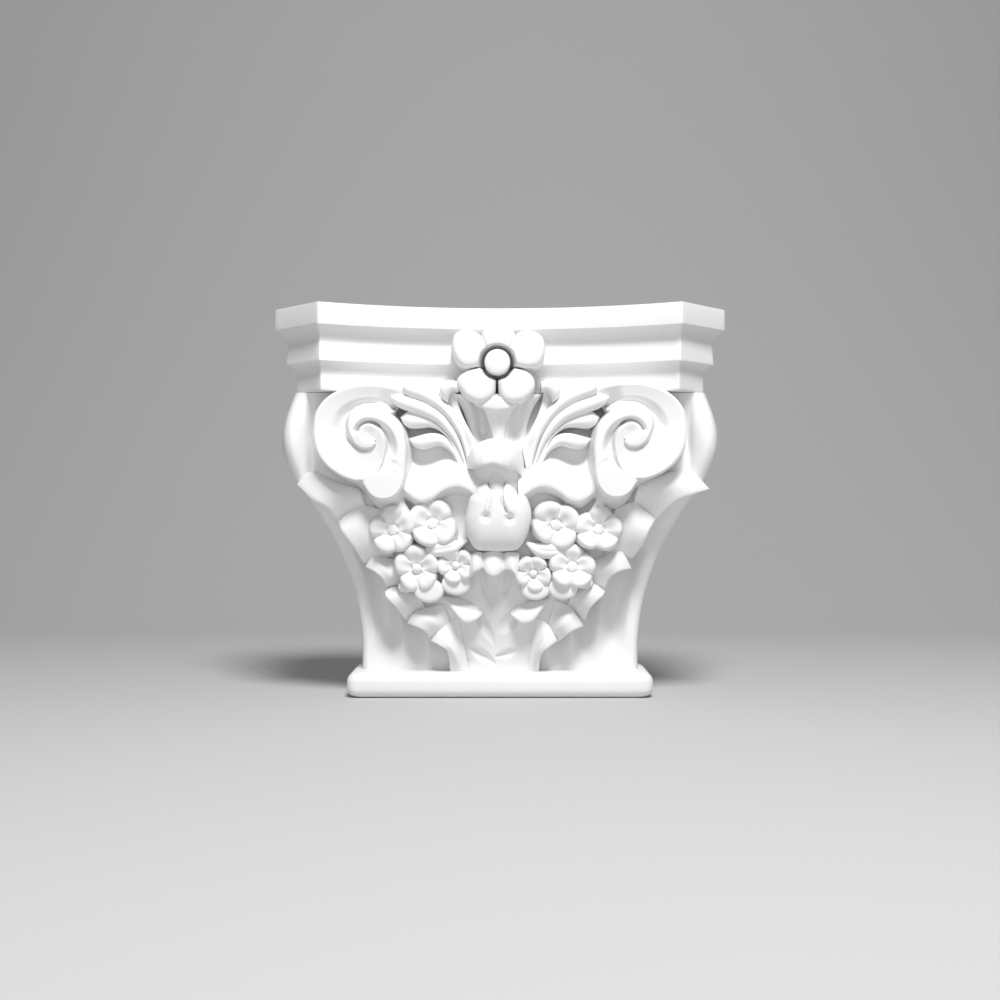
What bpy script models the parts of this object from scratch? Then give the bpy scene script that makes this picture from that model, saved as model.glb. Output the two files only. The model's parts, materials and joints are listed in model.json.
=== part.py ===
# Pilaster capital, cast in one piece: concave abacus with a flower on it, two volutes, feathered
# leaves, a calyx with clusters of flowers between two folded leaf edges, and a rounded astragal.
# Metres. +X to the viewer's right, +Z up, the flat back on the wall plane y = 0, the front at -Y,
# and the underside at z = 0.

import math

import bmesh
import bpy
import numpy as np

for old in list(bpy.data.objects):
    bpy.data.objects.remove(old)

# Driving sizes
WIDTH = 0.300  # over the abacus horns
HEIGHT = 0.259
DEPTH = 0.095  # wall to the front corners of the horns

ABACUS_HEIGHT = 0.0555
ABACUS_FASCIA = 0.014
ABACUS_SLOPE = 0.0095
ABACUS_SECOND_FASCIA = 0.0135
ABACUS_CAVETTO = 0.007
ABACUS_SLOPE_INSET = 0.0087
ABACUS_CAVETTO_INSET = 0.0057
ABACUS_ARRIS = 0.001  # how far the second fascia's foot juts out
ABACUS_RECESS = 0.032  # how far the middle of the front lies behind the horns
HORN_CORNER = 0.116  # centre line to the front corner of a horn
HORN_SIDE_DEPTH = 0.055  # wall to the outer corner of a horn
SIDE_RECESS = 0.022  # how far the sides draw in from the horns to the wall

ASTRAGAL_HEIGHT = 0.017
ASTRAGAL_HALF = 0.1027
ASTRAGAL_DEPTH = 0.055
ASTRAGAL_EASE = 0.0065  # rounding of its edges

NECK_HALF = 0.0945
NECK_DEPTH = 0.036
SHOULDER_HALF = 0.138  # where the bell meets the rolls behind the volutes
BELL_TOP_HALF = 0.1335  # under the abacus
BELL_TOP_DEPTH = 0.050  # at the centre line, under the abacus
FLARE_START = 0.030
FLARE_POWER = 1.9
FRONT_POWER = 2.2  # the front flares later than the sides
SHOULDER_BULGE = 0.0108  # the rolls behind the volutes swell past the bell
CORNER_DEPTH = 0.076  # wall to the bell's front corners, under the horns
FLAT_SHARE = 0.93  # of the bell's half-width, where its front turns into its sides
TENON_INSET = 0.020  # how far the bell draws in where it runs up into the abacus
TENON_HEIGHT = 0.011

FLUTE_DEPTH = 0.006
FLUTE_TOP = 0.088
FLUTE_FOOT = 0.019

APRON_FOOT_DEPTH = 0.043
APRON_TOP_DEPTH = 0.064
APRON_INSET = 0.009  # from the tips of the lobes to the apron's own edge
APRON_EASE = 0.0065
LOBE_LIFT = 0.0115
LOBE_DROOP = 0.004
LIP_LIFT = 0.0085

VOLUTE_FRONT = 0.084
VOLUTE_RADIUS = 0.0363
VOLUTE_RELIEF = 0.0075  # the bands above the channel between them
VOLUTE_COIL = 0.004  # the middle of the spiral stands out past its outer turn
ROLL_DROP = 0.012  # the roll behind a volute lies this far behind the horn's depth

FLOWER_FRONT = 0.071
FLOWER_EDGE = 0.006
FLOWER_CREASE = 0.0035
FLOWER_STEP = 0.003  # the lower flowers lie behind the upper ones
FLEURON_RADIUS = 0.0305
FLEURON_FRONT = 0.074
FLEURON_EDGE = 0.008
FLEURON_CREASE = 0.009
FLEURON_DISC = 0.0084
FLEURON_DISC_FRONT = 0.078

CALYX_FRONT = 0.080
CAP_RISE = 0.007
BULB_DROP = 0.010
DROP_FRONT = 0.070
STEM_FRONT = 0.062
CURL_FRONT = 0.060
LEAF_FRONT = 0.067
LEAF_CAMBER = 0.003
GROUND_LEAF_LIFT = 0.004

# The carving is drawn on a sheet of this many units, then stretched to the capital's own size.
SHEET_WIDTH = 300.0
SHEET_HEIGHT = 259.0

BURIED = 0.024  # wall to the hidden backs of the carved pieces, inside the bell
WHITE = (0.83, 0.83, 0.82, 1.0)


def wide(across):
    """A width on the sheet as metres."""
    return across * WIDTH / SHEET_WIDTH


def tall(up):
    """A height on the sheet as metres."""
    return up * HEIGHT / SHEET_HEIGHT


def sheet(across, up):
    """A place on the sheet as x and z."""
    return wide(across), tall(up)


def blend(start, end, share):
    return start + (end - start) * share


def along(points, count):
    """Points evenly spaced in parameter on the smooth curve through a few points (Catmull-Rom)."""
    points = np.array(points, float)
    padded = np.vstack([2 * points[0] - points[1], points, 2 * points[-1] - points[-2]])
    curve = []
    for step in np.linspace(0, len(points) - 1, count):
        index = min(int(step), len(points) - 2)
        t = step - index
        a, b, c, d = padded[index : index + 4]
        bend = 2 * a - 5 * b + 4 * c - d
        twist = 3 * b - a - 3 * c + d
        curve.append(0.5 * (2 * b + (c - a) * t + bend * t**2 + twist * t**3))
    return np.array(curve)


def oval(across, up, half_wide, half_tall, count, power=1.0):
    """An oval on the sheet. A power under 1 squares it."""
    points = []
    for angle in np.linspace(0, 2 * math.pi, count, False):
        c = math.cos(angle)
        s = math.sin(angle)
        sideways = half_wide * math.copysign(abs(c) ** power, c)
        upward = half_tall * math.copysign(abs(s) ** power, s)
        points.append(sheet(across + sideways, up + upward))
    return points


# Meshes of closed pieces

carving = bpy.data.collections.new("carving")
bpy.context.scene.collection.children.link(carving)


def closed_object(name, vertices, faces):
    """A mesh object whose faces all point outwards."""
    mesh = bpy.data.meshes.new(name)
    mesh.from_pydata([tuple(map(float, vertex)) for vertex in vertices], [], faces)
    shape = bmesh.new()
    shape.from_mesh(mesh)
    bmesh.ops.recalc_face_normals(shape, faces=shape.faces)
    shape.to_mesh(mesh)
    shape.free()
    return bpy.data.objects.new(name, mesh)


def add_carving(name, vertices, faces):
    """A piece that the union later joins to the bell."""
    piece = closed_object(name, vertices, faces)
    piece.hide_render = True
    piece.display_type = "WIRE"
    carving.objects.link(piece)


def ring_mesh(rings):
    """Vertices and faces of rings joined in order, with flat ends. A ring of one point closes to a tip."""
    vertices = []
    starts = []
    for ring in rings:
        starts.append(len(vertices))
        vertices.extend(ring)
    faces = []
    for index in range(len(rings) - 1):
        here = starts[index]
        there = starts[index + 1]
        count = len(rings[index])
        if len(rings[index + 1]) == 1:
            faces.extend((here + i, here + (i + 1) % count, there) for i in range(count))
        else:
            for i in range(count):
                j = (i + 1) % count
                faces.append((here + i, here + j, there + j, there + i))
    for index in (0, len(rings) - 1):
        if len(rings[index]) > 1:
            faces.append(tuple(starts[index] + i for i in range(len(rings[index]))))
    return vertices, faces


def pad(name, outline, edge, crown, shares=(0.72, 0.38)):
    """A domed boss: an outline in x and z, run from its hidden back to its edge, then rounded off."""
    outline = np.array(outline)
    centre = outline.mean(axis=0)
    rings = [[(x, -BURIED, z) for x, z in outline], [(x, -edge, z) for x, z in outline]]
    for share in shares:
        depth = edge + (crown - edge) * math.sqrt(1 - share**2)
        rings.append([(x, -depth, z) for x, z in centre + (outline - centre) * share])
    rings.append([(centre[0], -crown, centre[1])])
    add_carving(name, *ring_mesh(rings))


def band(name, path, half_widths, fronts, crown):
    """A raised band along a path in x and z, with a rounded back to its front."""
    path = np.array(path)
    tangents = np.gradient(path, axis=0)
    tangents /= np.linalg.norm(tangents, axis=1)[:, None]
    sideways = np.stack([-tangents[:, 1], tangents[:, 0]], axis=1)
    rings = []
    for place, side, half, front in zip(path, sideways, half_widths, fronts):
        edge = front - crown
        ring = []
        for share, depth in ((-1, BURIED), (-1, edge), (-0.55, front), (0.55, front), (1, edge), (1, BURIED)):
            x, z = place + side * half * share
            ring.append((x, -depth, z))
        rings.append(ring)
    add_carving(name, *ring_mesh(rings))


def tile(name, grid):
    """A curved slab: a grid of front points, run straight back to its hidden rear."""
    rows, columns = grid.shape[:2]
    front = grid.reshape(-1, 3)
    rear = front * (1, 0, 1) - (0, BURIED, 0)
    count = rows * columns
    faces = []
    for i in range(rows - 1):
        for j in range(columns - 1):
            a = i * columns + j
            quad = (a, a + 1, a + columns + 1, a + columns)
            faces.append(quad)
            faces.append(tuple(count + k for k in reversed(quad)))
    rim = list(range(columns))
    rim += [i * columns + columns - 1 for i in range(1, rows)]
    rim += [(rows - 1) * columns + j for j in range(columns - 2, -1, -1)]
    rim += [i * columns for i in range(rows - 2, 0, -1)]
    for a, b in zip(rim, rim[1:] + rim[:1]):
        faces.append((b, a, count + a, count + b))
    add_carving(name, np.vstack([front, rear]), faces)


# Abacus


def abacus_outline(inset):
    """Plan of one layer: concave front between the horns, chamfered horns, sides drawn in to the wall."""
    horn = WIDTH / 2 - inset
    front = DEPTH - inset
    radius = (HORN_CORNER**2 + ABACUS_RECESS**2) / (2 * ABACUS_RECESS)
    side = [(horn - SIDE_RECESS * (1 - share**2), -HORN_SIDE_DEPTH * share) for share in (0, 0.35, 0.7, 1)]
    arc = []
    for x in np.linspace(HORN_CORNER, -HORN_CORNER, 15):
        recess = ABACUS_RECESS - (radius - math.sqrt(radius**2 - x**2))
        arc.append((x, -(front - recess)))
    return side + arc + [(-x, y) for x, y in reversed(side)]


def build_abacus():
    bottom = HEIGHT - ABACUS_HEIGHT
    inner = ABACUS_SLOPE_INSET + ABACUS_CAVETTO_INSET
    fascia_foot = HEIGHT - ABACUS_FASCIA
    slope_foot = fascia_foot - ABACUS_SLOPE
    second_foot = slope_foot - ABACUS_SECOND_FASCIA
    cavetto_foot = second_foot - ABACUS_CAVETTO
    layers = [
        (bottom, inner),
        (cavetto_foot, inner),
        (blend(cavetto_foot, second_foot, 0.6), ABACUS_SLOPE_INSET + 0.75 * ABACUS_CAVETTO_INSET),
        (second_foot, ABACUS_SLOPE_INSET + 0.1 * ABACUS_CAVETTO_INSET),
        (second_foot, ABACUS_SLOPE_INSET - ABACUS_ARRIS),
        (slope_foot, ABACUS_SLOPE_INSET),
        (blend(slope_foot, fascia_foot, 0.4), 0.45 * ABACUS_SLOPE_INSET),
        (fascia_foot, 0.0),
        (HEIGHT, 0.0),
    ]
    rings = [[(x, y, z) for x, y in abacus_outline(inset)] for z, inset in layers]
    add_carving("abacus", *ring_mesh(rings))


# Bell, flutes and astragal

SHOULDER = tall(144)  # where the bell's sides stop flaring
ROLL_FOOT = tall(154)
BELL_TOP = HEIGHT - ABACUS_HEIGHT

# Middle and half-width of each flute as shares of the neck's half-width, from the side inwards
FLUTES = ((0.80, 0.100), (0.61, 0.080), (0.43, 0.074))
INNER_STATION = 0.2  # last point across the front before the centre line, as a share


def flare(z):
    """0 at the neck to 1 under the abacus."""
    return min(max((z - FLARE_START) / (SHOULDER - FLARE_START), 0), 1) ** FLARE_POWER


def bell_half(z):
    if z <= SHOULDER:
        return blend(NECK_HALF, SHOULDER_HALF, flare(z))
    share = min((z - SHOULDER) / (BELL_TOP - SHOULDER), 1)
    return blend(SHOULDER_HALF, BELL_TOP_HALF, share) + SHOULDER_BULGE * math.sin(math.pi * share**0.9)


def bell_front(x, z):
    """Depth of the bell's front, which stays near the neck's until the top and grows concave in plan."""
    share = flare(z) ** FRONT_POWER
    centre = blend(NECK_DEPTH, BELL_TOP_DEPTH, share)
    corner = blend(NECK_DEPTH, CORNER_DEPTH, share)
    return blend(centre, corner, min(abs(x) / bell_half(z), 1) ** 2)


def flute(x, z):
    """Depth of the hollows down the bell's lower front."""
    if not FLUTE_FOOT < z < FLUTE_TOP:
        return 0.0
    fade = min((z - FLUTE_FOOT) / (0.35 * (FLUTE_TOP - FLUTE_FOOT)), 1)
    depth = 0.0
    for middle, half in FLUTES:
        offset = (abs(x) / NECK_HALF - middle) / half
        if abs(offset) < 1:
            depth += FLUTE_DEPTH * fade * math.cos(offset * math.pi / 2)
    return depth


def bell_levels():
    """Heights of the bell's outlines: closer at the flutes' ends and round the rolls behind the volutes."""
    run = FLUTE_TOP - FLUTE_FOOT
    levels = [0.5 * ASTRAGAL_HEIGHT]
    levels += [FLUTE_FOOT + share * run for share in (0.02, 0.3, 0.5, 0.7, 0.94, 1.06)]
    levels += list(np.linspace(FLUTE_TOP, SHOULDER, 6)[2:])
    levels += list(np.linspace(ROLL_FOOT, BELL_TOP, 6)[:-1])
    levels += [BELL_TOP - 0.05 * TENON_HEIGHT, BELL_TOP + 0.2 * TENON_HEIGHT, BELL_TOP + TENON_HEIGHT]
    return levels


def build_bell():
    """Horizontal outlines from the astragal up into the abacus."""
    stations = []
    for middle, half in FLUTES:
        stations += [(middle + half * share) / FLAT_SHARE for share in (0.95, 0.4, -0.4, -0.95)]
    stations.append(INNER_STATION)
    stations = stations + [0.0] + [-share for share in reversed(stations)]
    rings = []
    for z in bell_levels():
        half = bell_half(z)
        inset = TENON_INSET if z > BELL_TOP else 0.0
        bow = SIDE_RECESS * flare(z)
        depth = bell_front(half, z)
        side = [
            (half - bow - inset, 0.0),
            (half - 0.35 * bow - inset, -0.4 * depth),
            (half - inset, -0.68 * depth),
            (0.985 * half - inset, -0.87 * depth),
        ]
        front = []
        for share in stations:
            x = share * (FLAT_SHARE * half - inset)
            front.append((x, -(bell_front(x, z) - flute(x, z) - inset)))
        ring = side + front + [(-x, y) for x, y in reversed(side)]
        rings.append([(x, y, z) for x, y in ring])
    bell = closed_object("pilaster_capital", *ring_mesh(rings))
    bpy.context.scene.collection.objects.link(bell)
    return bell


def build_astragal():
    """A rounded bead along the front, returned along both sides."""
    ease = ASTRAGAL_EASE
    profile = [(ease, 0.0)]
    for angle in (30, 60, 90):
        turn = math.radians(angle)
        profile.append((ease * (1 - math.sin(turn)), ease * (1 - math.cos(turn))))
    profile += [(inset, ASTRAGAL_HEIGHT - height) for inset, height in reversed(profile)]
    rings = []
    for inset, z in profile:
        half = ASTRAGAL_HALF - inset
        depth = ASTRAGAL_DEPTH - inset
        ring = [(half, 0.0), (half, -(depth - ease))]
        for angle in (30, 60):
            turn = math.radians(angle)
            ring.append((half - ease * (1 - math.cos(turn)), -(depth - ease * (1 - math.sin(turn)))))
        ring.append((half - ease, -depth))
        ring += [(-x, y) for x, y in reversed(ring)]
        rings.append([(x, y, z) for x, y in ring])
    add_carving("astragal", *ring_mesh(rings))


# The big leaf: an apron between two edges of folded lobes

# Share of the bell's half-width and height on the sheet, where one lobe ends and the next begins
LEAF_EDGE = (
    (0.972, 144.5), (0.874, 119.0), (0.826, 90.0), (0.750, 73.5), (0.640, 52.5), (0.485, 40.0), (0.346, 23.0),
)
LOBE_REACHES = (29, 27, 25, 23, 21, 19)  # inwards from their free edges, on the sheet
LOBE_OVERLAP = 0.02
LEAF_TOP = tall(153)


def apron_front(z):
    share = min(max(z - ASTRAGAL_HEIGHT, 0) / tall(133), 1)
    return blend(APRON_FOOT_DEPTH, APRON_TOP_DEPTH, share)


def apron_half(z):
    """Half-width of the apron, which keeps inside the lobes."""
    ups = [tall(up) for _, up in reversed(LEAF_EDGE)]
    halves = [share * bell_half(up) - APRON_INSET for up, (share, _) in zip(ups, reversed(LEAF_EDGE))]
    return float(np.interp(z, ups, halves))


def build_apron():
    rings = []
    for z in np.linspace(0.7 * ASTRAGAL_HEIGHT, LEAF_TOP, 8):
        half = apron_half(z)
        front = apron_front(z)
        ring = [(half, -BURIED), (half, APRON_EASE - front), (half - APRON_EASE, -front), (half / 2, -front)]
        ring += [(-x, y) for x, y in reversed(ring)]
        rings.append([(x, y, z) for x, y in ring])
    add_carving("apron", *ring_mesh(rings))


def lobe_depth(z, out, down):
    """The roll of a lobe: out is 1 at its free edge, down is 0 at its crisp top edge and 1 at the next."""
    roll = math.sin(math.pi * (0.25 + 0.75 * down))
    swell = 0.5 + 0.5 * math.sin(0.72 * math.pi * out)
    return apron_front(z) + LOBE_LIFT * roll * swell - LOBE_DROOP * out**3


def build_lobes(side):
    """Folded lobes down one edge of the big leaf, each lapping the next."""
    edge = []
    for share, up in LEAF_EDGE:
        edge.append(np.array((side * share * bell_half(tall(up)), tall(up))))
    for index, (upper, lower) in enumerate(zip(edge, edge[1:])):
        run = lower - upper
        inward = np.array((-side * abs(run[1]), abs(run[0]))) / np.linalg.norm(run)
        reach = wide(LOBE_REACHES[index])
        grid = np.zeros((4, 5, 3))
        for i, out in enumerate(np.linspace(0, 1, 4)):
            for j, down in enumerate(np.linspace(0, 1, 5)):
                place = upper + run * blend(-LOBE_OVERLAP, 1 + LOBE_OVERLAP, down)
                place = place + inward * reach * (1 - out)
                grid[i, j] = (place[0], -lobe_depth(place[1], out, down), place[1])
        mark = "l" if side < 0 else "r"
        tile(f"lobe_{index + 1}_{mark}", grid)


# Volutes

EYE = (84.7, 175.5)
# Angle from the inner side over the top, outer edge and width as shares of the volute's radius
RIM_BAND = (
    (55, 0.74, 0.10), (87, 0.89, 0.20), (130, 0.98, 0.24), (165, 1.00, 0.27), (210, 0.94, 0.32),
    (270, 0.81, 0.38), (310, 0.68, 0.33), (352, 0.45, 0.20), (400, 0.31, 0.13), (450, 0.24, 0.10),
    (520, 0.19, 0.09),
)
STALK_BAND = (
    (-66, 1.20, 0.30), (-40, 0.90, 0.24), (-8, 0.69, 0.18), (40, 0.60, 0.17), (87, 0.535, 0.18),
    (163, 0.47, 0.20), (230, 0.42, 0.18), (285, 0.28, 0.10),
)
BAND_ROUND = 0.0015
DRUM_INSET = 0.03  # the drum keeps this share of the radius inside the bands
DRUM_INNER = 0.74  # its radius on the side towards the stalk
ROLL_SWELL = (1.16, 1.05)  # the roll behind is wider and taller than the drum
ROLL_SHIFT = 0.006


def spiral(side, controls, count):
    """Middle line and half-widths of a band round the eye."""
    rows = along(controls, count)
    eye = np.array(sheet(side * EYE[0], EYE[1]))
    turns = np.radians(rows[:, 0])
    radii = (rows[:, 1] - rows[:, 2] / 2) * VOLUTE_RADIUS
    path = eye + np.stack([-side * radii * np.cos(turns), radii * np.sin(turns)], axis=1)
    return path, rows[:, 2] / 2 * VOLUTE_RADIUS


def drum_outline(side):
    angles = [row[0] for row in RIM_BAND]
    edges = [row[1] for row in RIM_BAND]
    outline = []
    for angle in np.linspace(-50, 285, 20):
        share = np.interp(angle, angles, edges) - DRUM_INSET if angle > angles[0] else DRUM_INNER
        turn = math.radians(angle)
        across = -side * share * VOLUTE_RADIUS * math.cos(turn)
        outline.append((wide(side * EYE[0]) + across, tall(EYE[1]) + share * VOLUTE_RADIUS * math.sin(turn)))
    return outline


def build_volute(side):
    """Two bands that wind into each other on a drum, with a swollen roll behind it."""
    mark = "l" if side < 0 else "r"
    path, halves = spiral(side, RIM_BAND, 27)
    fronts = VOLUTE_FRONT - VOLUTE_COIL * np.linspace(1, 0, 27) ** 2
    band(f"volute_rim_{mark}", path, halves, fronts, BAND_ROUND)
    path, halves = spiral(side, STALK_BAND, 19)
    fronts = VOLUTE_FRONT - 0.25 * VOLUTE_COIL - 1.5 * VOLUTE_COIL * np.linspace(1, 0, 19) ** 3
    band(f"volute_stalk_{mark}", path, halves, fronts, BAND_ROUND)
    outline = drum_outline(side)
    floor = VOLUTE_FRONT - VOLUTE_RELIEF
    pad(f"volute_drum_{mark}", outline, floor, floor + 0.1 * VOLUTE_RELIEF, (0.5,))
    eye = sheet(side * EYE[0], EYE[1])
    swollen = []
    for x, z in outline:
        wider = eye[0] + (x - eye[0]) * ROLL_SWELL[0] + side * ROLL_SHIFT
        swollen.append((wider, eye[1] + (z - eye[1]) * ROLL_SWELL[1]))
    pad(f"volute_roll_{mark}", swollen, CORNER_DEPTH - ROLL_DROP, CORNER_DEPTH - 0.7 * ROLL_DROP, (0.9,))


# Leaves

FEATHER_RIB = ((18.5, 152), (22.5, 166), (29, 181), (39, 190.5), (51, 197), (66, 203))
CURLED_TIP = ((19, 154), (20.5, 172), (23.5, 191), (29, 206), (34, 209))
CURLED_HALVES = (2.2, 2.8, 3.2, 3.6, 4.2, 5.0, 5.2, 3.0)
LIP_TIP = ((66, 146), (60.5, 138), (59, 128), (67, 131), (70, 138))


def mirrored(points, side):
    """Points on the sheet, on the left for a side of -1."""
    return [sheet(side * across, up) for across, up in points]


def build_feather(side):
    """A feathered leaf that springs beside the calyx and curls outwards: a rib with lobes below it."""
    mark = "l" if side < 0 else "r"
    rows = 13
    rib = along(mirrored(FEATHER_RIB, side), rows)
    tangents = np.gradient(rib, axis=0)
    tangents /= np.linalg.norm(tangents, axis=1)[:, None]
    above = np.stack([-side * tangents[:, 1], side * tangents[:, 0]], axis=1)
    above *= np.sign(above[:, 1].sum())
    grid = np.zeros((rows, 5, 3))
    for i, share in enumerate(np.linspace(0, 1, rows)):
        tooth = 0.5 - 0.5 * math.cos(7 * math.pi * share)
        upper = wide(3 + 9.5 * math.sin(math.pi * share**0.8) ** 0.8)
        lower = wide(1.5 + (5 + 7 * tooth) * math.sin(math.pi * min(share * 1.05, 1)) ** 0.5)
        arch = LEAF_FRONT + LEAF_CAMBER * math.sin(math.pi * share)
        reaches = (upper, upper / 2, 0.0, -lower / 2, -lower)
        for j, (reach, rise) in enumerate(zip(reaches, (-1, 1, -0.2, 1, -0.7))):
            x, z = rib[i] + above[i] * reach
            grid[i, j] = (x, -(arch + rise * LEAF_CAMBER), z)
    tile(f"feather_{mark}", grid)
    curl = along(mirrored(CURLED_TIP, side), len(CURLED_HALVES))
    fronts = np.linspace(LEAF_FRONT, LEAF_FRONT + LEAF_CAMBER, len(CURLED_HALVES))
    band(f"curled_tip_{mark}", curl, [wide(half) for half in CURLED_HALVES], fronts, 0.8 * LEAF_CAMBER)


def lip_low(share):
    """Height of the rim on the sheet: two scallops, then a rise over the flowers to the calyx."""
    low = blend(141, 143.5, share) - 7.5 * abs(math.sin(3 * math.pi * share)) ** 0.7
    if share > 2 / 3:
        low += 9 * max(math.sin(3 * math.pi * (share - 2 / 3)), 0) ** 0.8
    return low


def build_lip(side):
    """The scalloped rim of the upper leaf, which overhangs the flowers."""
    mark = "l" if side < 0 else "r"
    grid = np.zeros((15, 4, 3))
    for i, share in enumerate(np.linspace(0, 1, 15)):
        across = side * blend(92, 17, share)
        low = lip_low(share)
        for j, rise in enumerate((0, 0.3, 0.65, 1)):
            x, z = sheet(across, blend(low, 160, rise))
            roll = 0.75 if rise == 0 else math.cos(rise * math.pi / 2)
            grid[i, j] = (x, -(APRON_TOP_DEPTH + LIP_LIFT * roll), z)
    tile(f"leaf_lip_{mark}", grid)
    tip_front = APRON_TOP_DEPTH + 0.7 * LIP_LIFT
    pad(f"leaf_tip_{mark}", mirrored(LIP_TIP, side), APRON_TOP_DEPTH, tip_front, (0.5,))


def build_ground_leaf(name, side, root, tip, half, front, count=7):
    """A small pointed leaf lying on the ground of the carving, widest in the middle."""
    path = along(mirrored((root, tip), side), count)
    shares = np.linspace(0.15, 1, count)
    halves = wide(half) * (0.15 + 0.85 * np.sin(math.pi * shares))
    band(name, path, halves, np.full(count, front + GROUND_LEAF_LIFT), 0.6 * GROUND_LEAF_LIFT)


# Flowers

# Across and up on the sheet, radius and turn
LEFT_FLOWERS = (
    (-71.0, 111.7, 15.3, 0.1), (-45.6, 115.0, 15.3, 0.5), (-55.7, 85.5, 15.0, 0.3), (-29.5, 88.8, 12.0, 0.7),
)
RIGHT_FLOWERS = (
    (65.3, 111.6, 15.3, 0.0), (36.9, 114.4, 15.3, 0.6), (47.8, 87.1, 15.0, 0.2), (22.8, 83.3, 12.0, 0.5),
)
LEFT_SCALLOPS = ((-33, 71.5), (-50, 70))
RIGHT_SCALLOPS = ((27, 72.5), (43, 71))
SCALLOP_SIZE = (10.5, 7.5)
SCALLOP_DROP = 0.014
FLEURON = (-1.5, 222.5)
PETALS = 5


def build_flower(name, place, radius, front, edge, turn, steps=4, boss=0.30, crease=FLOWER_CREASE):
    """Rounded petals that dip towards a raised boss and at the creases between them."""
    x0, z0 = place
    count = PETALS * steps
    angles = [turn + 2 * math.pi * i / count for i in range(count)]
    bulge = [abs(math.cos((angle - turn) * PETALS / 2)) for angle in angles]
    rings = []
    layers = (
        (0.97, BURIED, 0.22, 0), (1.0, front - edge, 0.22, 1), (0.78, front, 0.17, 1),
        (boss, front - 0.45 * edge, 0, 0), (0.9 * boss, front + 0.25 * edge, 0, 0),
    )
    for share, depth, notch, creased in layers:
        ring = []
        for angle, petal in zip(angles, bulge):
            reach = radius * share * (1 - notch * (1 - petal**0.5))
            dip = crease * (1 - petal) * creased
            ring.append((x0 + reach * math.sin(angle), -(depth - dip), z0 + reach * math.cos(angle)))
        rings.append(ring)
    rings.append([(x0, -(front + 0.45 * edge), z0)])
    add_carving(name, *ring_mesh(rings))


def build_flowers():
    for mark, flowers in (("l", LEFT_FLOWERS), ("r", RIGHT_FLOWERS)):
        for index, (across, up, radius, turn) in enumerate(flowers):
            front = FLOWER_FRONT - FLOWER_STEP * (index // 2)
            name = f"flower_{mark}{index + 1}"
            build_flower(name, sheet(across, up), wide(radius), front, FLOWER_EDGE, turn)
    scallop_front = FLOWER_FRONT - SCALLOP_DROP
    for mark, scallops in (("l", LEFT_SCALLOPS), ("r", RIGHT_SCALLOPS)):
        for index, (across, up) in enumerate(scallops):
            outline = oval(across, up, *SCALLOP_SIZE, 10)
            pad(f"scallop_{mark}{index + 1}", outline, scallop_front, scallop_front + FLOWER_EDGE, (0.6,))
    for mark, side in (("l", -1), ("r", 1)):
        build_ground_leaf(f"flower_leaf_{mark}", side, (50, 97.5), (21, 104), 4.6, FLOWER_FRONT - FLOWER_EDGE)


def build_fleuron():
    """The flower on the middle of the abacus."""
    place = sheet(*FLEURON)
    build_flower("fleuron", place, FLEURON_RADIUS, FLEURON_FRONT, FLEURON_EDGE, 0.0, 6, 0.34, FLEURON_CREASE)
    disc = [
        (place[0] + FLEURON_DISC * math.cos(turn), place[1] + FLEURON_DISC * math.sin(turn))
        for turn in np.linspace(0, 2 * math.pi, 14, False)
    ]
    pad("fleuron_disc", disc, 0.99 * FLEURON_DISC_FRONT, FLEURON_DISC_FRONT, (0.75,))


# The middle: vase, overturned leaf, bulb, calyx and stem

# Height, half-width and depth in front of the bell's top, up the fluted vase
VASE = ((162, 15, 0.014), (172, 16.5, 0.015), (184, 19, 0.016), (194, 23, 0.018), (201, 27, 0.020))
VASE_STATIONS = (-1, -0.62, -0.25, 0.25, 0.62, 1)
VASE_FLUTE = 0.003
CAP = (-1, 156, 21.5, 18.5)
CAP_EDGE = ((-14, 152), (-6, 155), (2, 154), (10, 150.5), (15, 152))
PISTIL = ((-2, 160), (-1.5, 145), (1, 133), (0, 122))
BULB = (-2.5, 121, 22, 22.5)
BULB_EDGE = ((-19, 141), (-11, 143), (-8, 128), (6, 128), (8, 143), (15, 141))
DROPS = ((-4, 90, 7.5, 9.5), (-15.5, 89, 5.5, 7), (9, 87.5, 5.5, 7))
STEM = ((-4, 94), (-4, 76), (-4.5, 58), (-4.5, 42))
STEM_HALVES = (15, 12, 9, 6, 3.5, 2, 1.2)
CURL = ((38, 70), (33, 58), (25, 49), (16, 51.5), (12.5, 56))
CURL_HALVES = (0.8, 1.6, 2.4, 3.2, 4.0, 4.6, 4.6, 3.6, 2.0)
MIDDLE_SHIFT = -2  # the middle of the lower carving on the sheet


def build_vase():
    """The fluted vase between the calyx and the flower on the abacus."""
    rings = []
    for up, half, lift in VASE:
        ring = [(-wide(half), -BURIED)]
        for share in VASE_STATIONS:
            hollow = VASE_FLUTE * (abs(share) == 0.62)
            ring.append((wide(half * share), -(BELL_TOP_DEPTH + lift * (1 - 0.4 * share**2) - hollow)))
        ring.append((wide(half), -BURIED))
        rings.append([(x, y, tall(up)) for x, y in ring])
    add_carving("vase", *ring_mesh(rings))


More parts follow.
